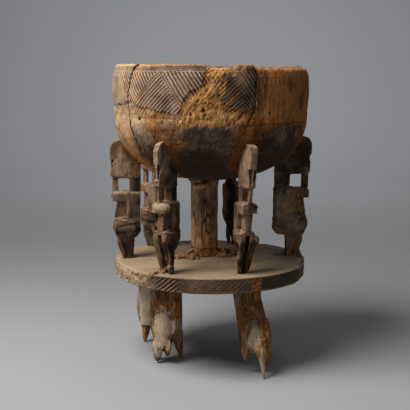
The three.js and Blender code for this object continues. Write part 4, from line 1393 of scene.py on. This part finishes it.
def buildFigure(name, spec, material, seed):
    parts = [arraysOf(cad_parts[name].data)]
    for centre, radii in bothSides(commonLumps) + spec.get("lumps", []):
        points, faces = lump(centre, radii)
        parts.append((posed(points, spec), faces))
    parts += [spike(*given) for given in spec.get("spikes", [])]
    parts += crumbHeaps(spec.get("heaps", []), np.random.default_rng(seed + 10))
    points, faces = merged(parts, figure["voxel"])
    points = rounded(points, faces, figure["rounds"])
    points = posed(figurePlanes(unposed(points, spec), spec.get("slimFace", 0)), spec)
    normals = normalsOf(points, faces)
    over = overBowl(points)
    near = points + np.array([seed * 31.7, 0, 0])  # each figure has its own stretch of the noise
    facets = np.abs(softNoise(near, (11, 11, 17), 1)) + 0.6 * np.abs(softNoise(near, (6, 6, 9), 4))
    fibre = layeredNoise(near, (1.8, 1.8, 14), 2, 2)
    splits = fissures(near, (7, 7, 70), 0.05, 3)
    joint = fadeOut(over + 2.5 * softNoise(near, 7.0, 6), 3.0, 9.0)
    foot = fadeOut(points[:, 2] - platformTop + 4 * softNoise(near, 8.0, 2), 1, 8) * 0.42
    raw = np.maximum.reduce([0.75 * joint, foot, blobMark(points, normals, spec.get("raw"))])
    crumble = np.abs(layeredNoise(near, (3, 3, 5), 3, 5))
    cheek, lines = faceCarving(unposed(points, spec), spec.get("browLift", 0))
    depth = 0.15 + figure["adze"] * facets + figure["fibre"] * fibre + figure["fissure"] * splits
    depth = depth + figure["cheek"] * cheek + figure["crease"] * lines
    depth = depth + raw * (0.3 + figure["rawDepth"] * crumble) * (1 - 0.6 * joint)
    points = keepInside(seatInto(points - normals * depth[:, None], over, platformTop + 0.3))
    x, _, z = unposed(points, spec).T
    # painted shade goes into the soot below: behind the shins under the thigh, on faces turned to +x away
    # from the lamp, and on the inner back of the figure under the bowl, with the dark and light patches
    # painting shade and light; the soot also rises a little below the chest
    calfShade = smoothStep(shinLine(z) - x, 3.5, 6.5) * fadeOut(z + 0.25 * x, 47, 55)
    soot = spec["soot"] + 0.45 * layeredNoise(near, 24.0, 2, 4) + 0.15 * normals[:, 0]
    soot = soot + spec.get("calfShade", 0.4) * calfShade + 0.25 * smoothStep(-x, 0, 8) + 0.14 * fadeOut(z, 104, 124)
    soot = soot + blobMark(points, normals, spec.get("dark")) - blobMark(points, normals, spec.get("light"))
    dirty = 0.15 * smoothStep(softNoise(near, 18.0, 6), 0, 0.5)
    # the cheek hollows and the carved creases are painted darker here as shade
    dark = [splits * 0.7, cheek * 0.7, 0.3 * lines, hollowsOn(depth, faces) * 0.8]
    marks = {
        "pale": blobMark(points, normals, spec.get("pale")) + dirty,
        "raw": unit(raw + 0.12 * softNoise(near, 14.0, 7)),
        "soot": unit(soot), "line": unit(np.maximum.reduce(dark)),
        "rust": unit(0.3 + 0.3 * joint + 0.4 * softNoise(near, 12.0, 1) - 0.4 * foot),
        "stain": unit(0.35 + 0.5 * joint + 0.5 * softNoise(near, 10.0, 3)),
    }
    mesh = meshOf(name, points, [faces], marks)
    placePiece(f"{name}_carved", mesh, material, [name])


smokyWood = woodMaterial("smoky wood", smokyWoodLook)
for seed, (name, spec) in enumerate(figures.items()):
    buildFigure(name, spec, smokyWood, seed)
print("figures built")


# Platform: a round grid from the middle of the top over the edge to the middle of the underside

platform = {
    "columns": 1000, "rows": (46, 24, 14), "radius": 152.5, "thickness": 24, "bevel": 2.0,
    "hatchPeriod": 38.0, "hatchSpacing": 5.2, "hatchSlope": 39, "hatchWidth": 1.25, "hatchDepth": 2.0,
    "trianglesEach": 150000,
    # places where the rim is worn, as (bearing, half width in degrees, depth)
    "worn": [(-74, 12, 3), (-58, 5, 2), (70, 3, 3), (84, 6, 5), (160, 14, 2)],
}
dustyWoodLook = {
    "gloss": 0.25, "bump": 0.5,
    "tones": {
        "Skin Light": "8c7258", "Skin Deep": "5f4833", "Soot": "2e2318", "Raw Light": "c4aa89",
        "Raw Deep": "866445", "Rust": "80481f", "Stain": "4b3625", "Dust": "a38d72",
    },
    "grain": {
        "Dust Amount": 0.75, "Fibre Size": 1.6, "Fibre Length": 6.0, "Blotch Size": 30.0, "Edge Rub": 0.5,
    },
}


def platformHatch(bearing, drop):
    # triangles of slanting strokes round the edge, deep in a few places
    arc = bearing * math.radians(1) * platform["radius"]
    period, spacing = platform["hatchPeriod"], platform["hatchSpacing"]
    lean = np.where((bearing + 36) % period < period / 2, 1, -1)
    slope = math.radians(platform["hatchSlope"])
    across = arc * math.sin(slope) * lean + drop * math.cos(slope)
    strokes = bell((across + spacing / 2) % spacing - spacing / 2, platform["hatchWidth"])
    uneven = softNoise(np.stack([arc, 0 * arc, drop], -1), (15, 1, 9), 2)
    strength = 0.1 + 0.16 * smoothStep(uneven, -0.2, 0.5) + 0.8 * plateau(bearing + 24.5, 6.0)
    strength = np.maximum(strength, 0.4 * plateau(bearing - 15, 4))
    strength = np.where(np.abs(bearing) > 100, 0.5, strength)
    band = smoothStep(drop, 2.0, 3.5) * fadeOut(drop, 20.5, 22.5)
    return strokes * strength * band


def platformLine(low, scale):
    # (radius, level) of each row, the top's set closer together towards the edge
    radius, bevel = platform["radius"], platform["bevel"]
    topRows, edgeRows, underRows = (round(count * scale) for count in platform["rows"])
    topShare = 1 - (1 - np.linspace(0.02, 1, topRows)) ** 1.5
    line = [((radius - bevel) * share, platformTop) for share in topShare]
    corner = np.linspace(0, np.pi / 2, 5)[1:]
    inset, under = radius - bevel, platformTop - bevel
    line += [(inset + bevel * math.sin(t), under + bevel * math.cos(t)) for t in corner]
    line += [(radius, level) for level in np.linspace(platformTop - bevel, low + bevel * 1.5, edgeRows)[1:]]
    line += [(radius - bevel * 0.8, low + 0.7), (radius - bevel * 1.8, low)]
    line += [(radius * share, low) for share in np.linspace(0.97, 0.02, underRows)]
    return np.array(line)


def buildPlatform():
    scale = 1
    radius, low = platform["radius"], platformTop - platform["thickness"]
    columns = round(platform["columns"] * scale)
    line = platformLine(low, scale)
    b = np.repeat(np.arange(columns) / columns * 360 - 180, len(line))
    r, z = np.tile(line[:, 0], columns), np.tile(line[:, 1], columns)
    run, rise = np.gradient(line[:, 0]), np.gradient(line[:, 1])
    length = np.hypot(run, rise)
    normalR, normalZ = np.tile(-rise / length, columns), np.tile(run / length, columns)
    at = dirPoint(b, r, z)
    onTop = z > platformTop - 0.5
    drop = platformTop - z
    edge = smoothStep(r, radius - 6, radius - 1)
    rim = smoothStep(r, radius - 16, radius - 1)
    # the rim is raw at the left and the right, rusty at one place in front, and patchy behind
    grain = layeredNoise(at, (9, 9, 5), 3, 1)
    spread = smoothStep(r + 5 * layeredNoise(at, 12.0, 2, 7), radius - 13, radius - 7)
    leftRaw, rightRaw = plateau(b + 65, 28) * spread, plateau(b - 80, 17) * spread
    patchy = smoothStep(softNoise(at, (26, 26, 14), 4), 0.2, 0.45) * edge * smoothStep(np.abs(b), 95, 120)
    orange = plateau(b - 26 + 1.5 * grain, 2.6) * edge * smoothStep(drop, 0, 3)
    raw = unit(np.maximum.reduce([leftRaw, rightRaw * 0.9, patchy * 0.8, orange]) + 0.45 * grain * spread)
    strokes = platformHatch(b, drop) * (1 - 0.8 * smoothStep(raw, 0.3, 0.7)) * (~onTop)
    crumbs = np.abs(layeredNoise(at, (5, 5, 5), 3, 3))
    deep = np.abs(layeredNoise(at, (11, 11, 8), 2, 6))
    depth = 0.15 + platform["hatchDepth"] * strokes + raw * (0.4 + 2.6 * crumbs + 1.8 * deep)
    waves = 0.5 + 0.5 * softNoise(at, 42.0, 2) + 0.25 * layeredNoise(at, 12.0, 2, 5)
    scratches = layeredNoise(at, (26, 2.6, 8), 3, 7)
    splits = fissures(at * (1, 1, 0.2), (60, 8, 8), 0.03, 2) * (1 - edge)
    depth = depth + (1 - edge) * (0.25 + 0.5 * waves + 0.5 * splits + 0.25 * scratches)
    depth = depth + edge * (0.25 * waves + 0.5 * np.abs(layeredNoise(at, (7, 7, 7), 3, 4)))
    grit = np.abs(layeredNoise(at, (2.6, 2.6, 3.4), 2, 4))
    depth = depth + edge * grit * (0.35 + 0.9 * leftRaw)
    # where a raw rim has crumbled, its top corner has gone with it
    loss = sum(fall * bell(b - middle, wide) for middle, wide, fall in platform["worn"])
    crumbled = (leftRaw + rightRaw) * smoothStep(-drop, -9, 0) * rim
    bites = smoothStep(layeredNoise(at, (11, 11, 14), 2, 5), -0.05, 0.5) * (leftRaw + rightRaw) * rim
    radiusNow = r - depth * normalR - loss * edge - crumbled * (0.5 + 2.5 * crumbs) - 2.6 * bites
    levelNow = z - depth * normalZ - (crumbled * (0.4 + 1.6 * deep) + 2.4 * bites) * onTop
    levelNow = levelNow + 3.0 * rightRaw * edge * smoothStep(drop, 12, 24)
    poles = np.array([[0, 0, platformTop - 0.5], [0, 0, low + 0.5]])
    points = keepInside(np.concatenate([dirPoint(b, radiusNow, levelNow), poles]))
    ids = np.arange(columns * len(line)).reshape(columns, len(line))
    quads = gridFaces(ids, flip=True)
    ring, after = ringOf(columns)
    fans = np.concatenate([
        np.stack([ids[ring, 0], ids[after, 0], 0 * ring + len(points) - 2], 1),
        np.stack([ids[after, -1], ids[ring, -1], 0 * ring + len(points) - 1], 1),
    ])
    soot = 0.25 + 0.3 * softNoise(at, 30.0, 6) + 0.35 * edge + 0.25 * (b > 30) * edge + 0.2 * (z < low + 1)
    soot = soot + 0.45 * scratches * onTop + 0.35 * layeredNoise(at, 16.0, 3, 2) * onTop
    # painted shade: the top is sootier round the column, under the bowl, and on the right, away from the
    # lamp
    soot = soot + 0.3 * fadeOut(np.hypot(at[:, 0] + 10, at[:, 1]), 30, 62) * onTop
    soot = soot + 0.35 * smoothStep(at[:, 0], 85, 140) * onTop
    hollow = hollows(depth.reshape(ids.shape)).ravel()
    marks = {
        "raw": raw * 0.95, "soot": unit(soot),
        # the second pale term, on the left of the top, is partly dust and partly painted light on the side
        # nearest the lamp
        "pale": 0.5 * leftRaw + 0.3 * smoothStep(-at[:, 0], 50, 110) * onTop,
        "line": unit(np.maximum(strokes * 0.9 + splits * 0.8, hollow * (0.8 - 0.5 * leftRaw))),
        "rust": unit(orange + rightRaw * 0.4 + 0.2 * crumbs), "stain": unit(rightRaw + 0.3 * deep),
    }
    marks = {key: np.concatenate([value, [0.2, 0.4]]) for key, value in marks.items()}
    mesh = meshOf("platform", points, [quads, fans], marks)
    mesh = thinned(mesh, 2 * len(quads), platform["trianglesEach"])
    material = woodMaterial("dusty wood", dustyWoodLook)
    placePiece("platform_carved", mesh, material, ["platform"])


buildPlatform()
print("platform built")


# Column and stump legs

stump = {
    "voxel": 1.1, "rounds": 2, "fibre": 1.0, "fissure": 1.6, "crumble": 1.6,
}
stumpWoodLook = {
    "gloss": 0.18, "bump": 0.7,
    "tones": {
        "Skin Light": "9f856b", "Skin Deep": "69503a", "Soot": "241709", "Raw Light": "c99a62",
        "Raw Deep": "734a26", "Rust": "8c5423", "Stain": "3f2917", "Dust": "dfc4a6",
    },
    "grain": {
        "Dust Amount": 0.14, "Fibre Size": 1.5, "Fibre Length": 22.0, "Blotch Size": 20.0, "Edge Rub": 0.5,
    },
}
stumps = {
    "centre_column": {
        "soot": 0.22, "stain": 0.0, "base": 0.1, "low": 0.7, "crumbleUnder": 172, "shade": 0.42,
        "skin": [(-16, 250, 18, 26, 1), (6, 250, 12, 40, 0.7)],
        "raw": [
            (-15, 275, 17, 10, 1.2), (-26, 204, 6, 22, 1.1), (-16, 178, 24, 18, 1.1),
            (-8, 194, 5, 20, 0.9), (2, 170, 14, 14, 0.8),
        ],
        "rust": [(-14, 275, 15, 8, 0.4), (2, 170, 14, 20, 0.4), (-18, 202, 2, 14, 0.8)],
        # the pale patches on the column's left side and on the lump's lower lip are painted light where the
        # column lies in the bowl's shade
        "pale": [
            (-21, 272, 13, 8, 0.6), (-27, 200, 6, 24, 0.45), (-20, 176, 8, 12, 0.3),
            (-24, 242, 7, 28, 0.6),
        ],
        "lumps": [
            ((-21, -14, 274), (9.5, 12, 7)), ((-8, -15, 276), (9.5, 11, 6.5)),
            ((-27, 6, 281), (9, 7, 3.5)),
        ],
        "spikes": [((20, 8, 170), (40, 34, 161), 4.5), ((-26, -6, 172), (-50, -12, 159), 4.5)],
        "heaps": [
            ((-45, -2), (15, 10), 70, 11), ((-30, -9), (13, 8), 46, 9), ((22, 10), (14, 9), 50, 9),
            ((38, 24), (11, 8), 34, 9),
        ],
    },
    "leg_front_left": {
        "soot": 0.05, "stain": 0.6, "base": 0.75,
        "skin": [(-73, 62, 17, 30, 1), (-80, 22, 9, 20, 1), (-92, 110, 8, 22, 0.8)],
        "pale": [(-72, 64, 15, 27, 0.95), (-80, 26, 8, 20, 0.9), (-66, 34, 5, 14, 0.8)],
        "raw": [(-77, 92, 13, 8, 1), (-62, 36, 5, 14, 1)],
        "rust": [(-77, 93, 14, 9, 0.9), (-50, 60, 8, 40, 0.2)],
        "lumps": [
            ((-74, -59, 58), (15, 8, 34)), ((-81, -50, 26), (9, 9, 25)), ((-64, -56, 34), (6, 6, 22)),
        ],
        "spikes": [((-60, -60, 40), (-63, -62, 14), 3.5), ((-52, -48, 50), (-46, -40, 6), 4)],
    },
    "leg_front_right": {
        "soot": 0.5, "stain": 0.55, "base": 0.8,
        "skin": [(64, 64, 11, 22, 1), (60, 34, 8, 16, 0.7), (79, 22, 5, 24, 0.8)],
        "pale": [(66, 62, 9, 20, 0.4), (78, 26, 4, 26, 0.35)],
        "thin": [((73, -108, 52), (81, -125, -2), 13, 0.45)],
        "raw": [(44, 73, 8, 20, 1), (72, 47, 5, 14, 1)], "rust": [(44, 76, 8, 18, 0.5)],
        "lumps": [
            ((62, -107, 68), (12, 9, 29)), ((86, -106, 33), (7.5, 8, 19)), ((84, -98, 58), (9, 12, 30)),
        ],
        "spikes": [
            ((60, -106, 60), (53, -108, 25), 6.5), ((72, -106, 70), (80, -124, 3), 4),
            ((68, -106, 70), (73, -121, 24), 3.5),
        ],
    },
    "leg_back_left": {
        "soot": 0.05, "stain": 0.35, "base": 0.35, "low": 0.7, "skin": [(-108, 80, 14, 44, 1)],
        "pale": [(-106, 74, 12, 46, 0.9)],
        "raw": [(-98, 12, 10, 12, 1)], "rust": [(-98, 12, 12, 14, 1)],
    },
    "leg_back_right": {
        "soot": 0.4, "stain": 0.5, "base": 0.6, "low": 0.4, "skin": [(60, 70, 14, 30, 1)],
    },
}


def drawnIn(points, top, tip, reach, share):
    # draws a prong in towards its own line, more and more from its top down
    top, tip = np.array(top, float), np.array(tip, float)
    along = unit((points[:, 2] - top[2]) / (tip[2] - top[2]))
    off = points - (top + along[:, None] * (tip - top))
    off[:, 2] = 0
    near = fadeOut(np.linalg.norm(off, axis=1), reach * 0.8, reach * 1.3)
    return points - off * (near * share * smoothStep(along, 0.1, 0.6))[:, None]


def buildStump(name, spec, material, seed):
    isColumn = name == "centre_column"
    parts = [arraysOf(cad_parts[name].data)]
    parts += [lump(*given) for given in spec.get("lumps", [])]
    parts += [spike(*given) for given in spec.get("spikes", [])]
    parts += crumbHeaps(spec.get("heaps", []), np.random.default_rng(seed))
    points, faces = merged(parts, stump["voxel"])
    points = rounded(points, faces, stump["rounds"])
    normals = normalsOf(points, faces)
    over = overBowl(points)
    near = points + np.array([0, seed * 23.1, 0])  # each has its own stretch of the noise
    ridges = layeredNoise(near, (4.5, 4.5, 60), 3, 1)
    splits = fissures(near, (8, 8, 90), 0.08, 4)
    lumpy = softNoise(near, (16, 16, 26), 2)
    crumble = np.abs(layeredNoise(near, (4, 4, 6), 3, 6))
    skin = blobMark(points, normals, spec.get("skin"))
    rest = smoothStep(layeredNoise(near, (18, 18, 34), 2, 3), 0.25 - spec["base"], 0.65 - spec["base"])
    raw = np.maximum(rest * (1 - skin), blobMark(points, normals, spec.get("raw")))
    lowest = smoothStep(-(points[:, 2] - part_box(name)[0].z / mm), -46, -18) * spec.get("low", 0)
    raw = unit(np.maximum(raw, lowest * 0.9))
    heap = (points[:, 2] < spec.get("crumbleUnder", 0)) * 1.0
    depth = 0.2 + stump["fibre"] * (0.5 + ridges) * (0.3 + 0.7 * raw) + 0.6 * (0.5 + 0.5 * lumpy)
    depth = depth + stump["fissure"] * splits + raw * stump["crumble"] * crumble * (0.35 + 1.3 * heap)
    points = points - normals * depth[:, None]
    for given in spec.get("thin", []):
        points = drawnIn(points, *given)
    ceiling = None if isColumn else platformTop - platform["thickness"]
    points = keepInside(seatInto(points, over, platformTop if isColumn else -10, ceiling))
    rusty = blobMark(points, normals, spec.get("rust"))
    # painted shade: the soot grows on faces turned to +x, away from the lamp, as much as the spec's shade
    # says
    soot = spec["soot"] + 0.5 * layeredNoise(near, 26.0, 2, 7) + spec.get("shade", 0.2) * normals[:, 0]
    gaps = heap * smoothStep(layeredNoise(near, (6, 6, 4), 2, 2), 0.0, 0.3)
    stain = spec["stain"] + 0.6 * layeredNoise(near, (12, 12, 40), 2, 1) - rusty
    stain = stain + heap * (0.6 + 1.1 * layeredNoise(near, 4.0, 2, 4))
    # painted shade: the stain grows on faces turned to +x, and on the column over its right half
    stain = stain + 0.3 * smoothStep(normals[:, 0], 0, 0.8)
    stain = stain + 1.2 * spec.get("shade", 0) * smoothStep(points[:, 0], -8, 8) * (1 - heap)
    # painted shade lies under the platform, round the tops of the legs
    stain = stain + 0.9 * smoothStep(points[:, 2] + 8 * lumpy, 92, 114) * (not isColumn)
    marks = {
        "raw": raw, "soot": unit(soot), "pale": blobMark(points, normals, spec.get("pale")),
        "line": unit(np.maximum.reduce([splits, 0.6 * gaps, hollowsOn(depth, faces) * 0.8])),
        "rust": unit(0.25 + 0.35 * softNoise(near, 18.0, 5) + rusty + 0.35 * heap), "stain": unit(stain),
    }
    mesh = meshOf(name, points, [faces], marks)
    placePiece(f"{name}_carved", mesh, material, [name])


stumpWood = woodMaterial("stump wood", stumpWoodLook)
for seed, (name, spec) in enumerate(stumps.items()):
    buildStump(name, spec, stumpWood, seed + 40)
print("column and legs built")
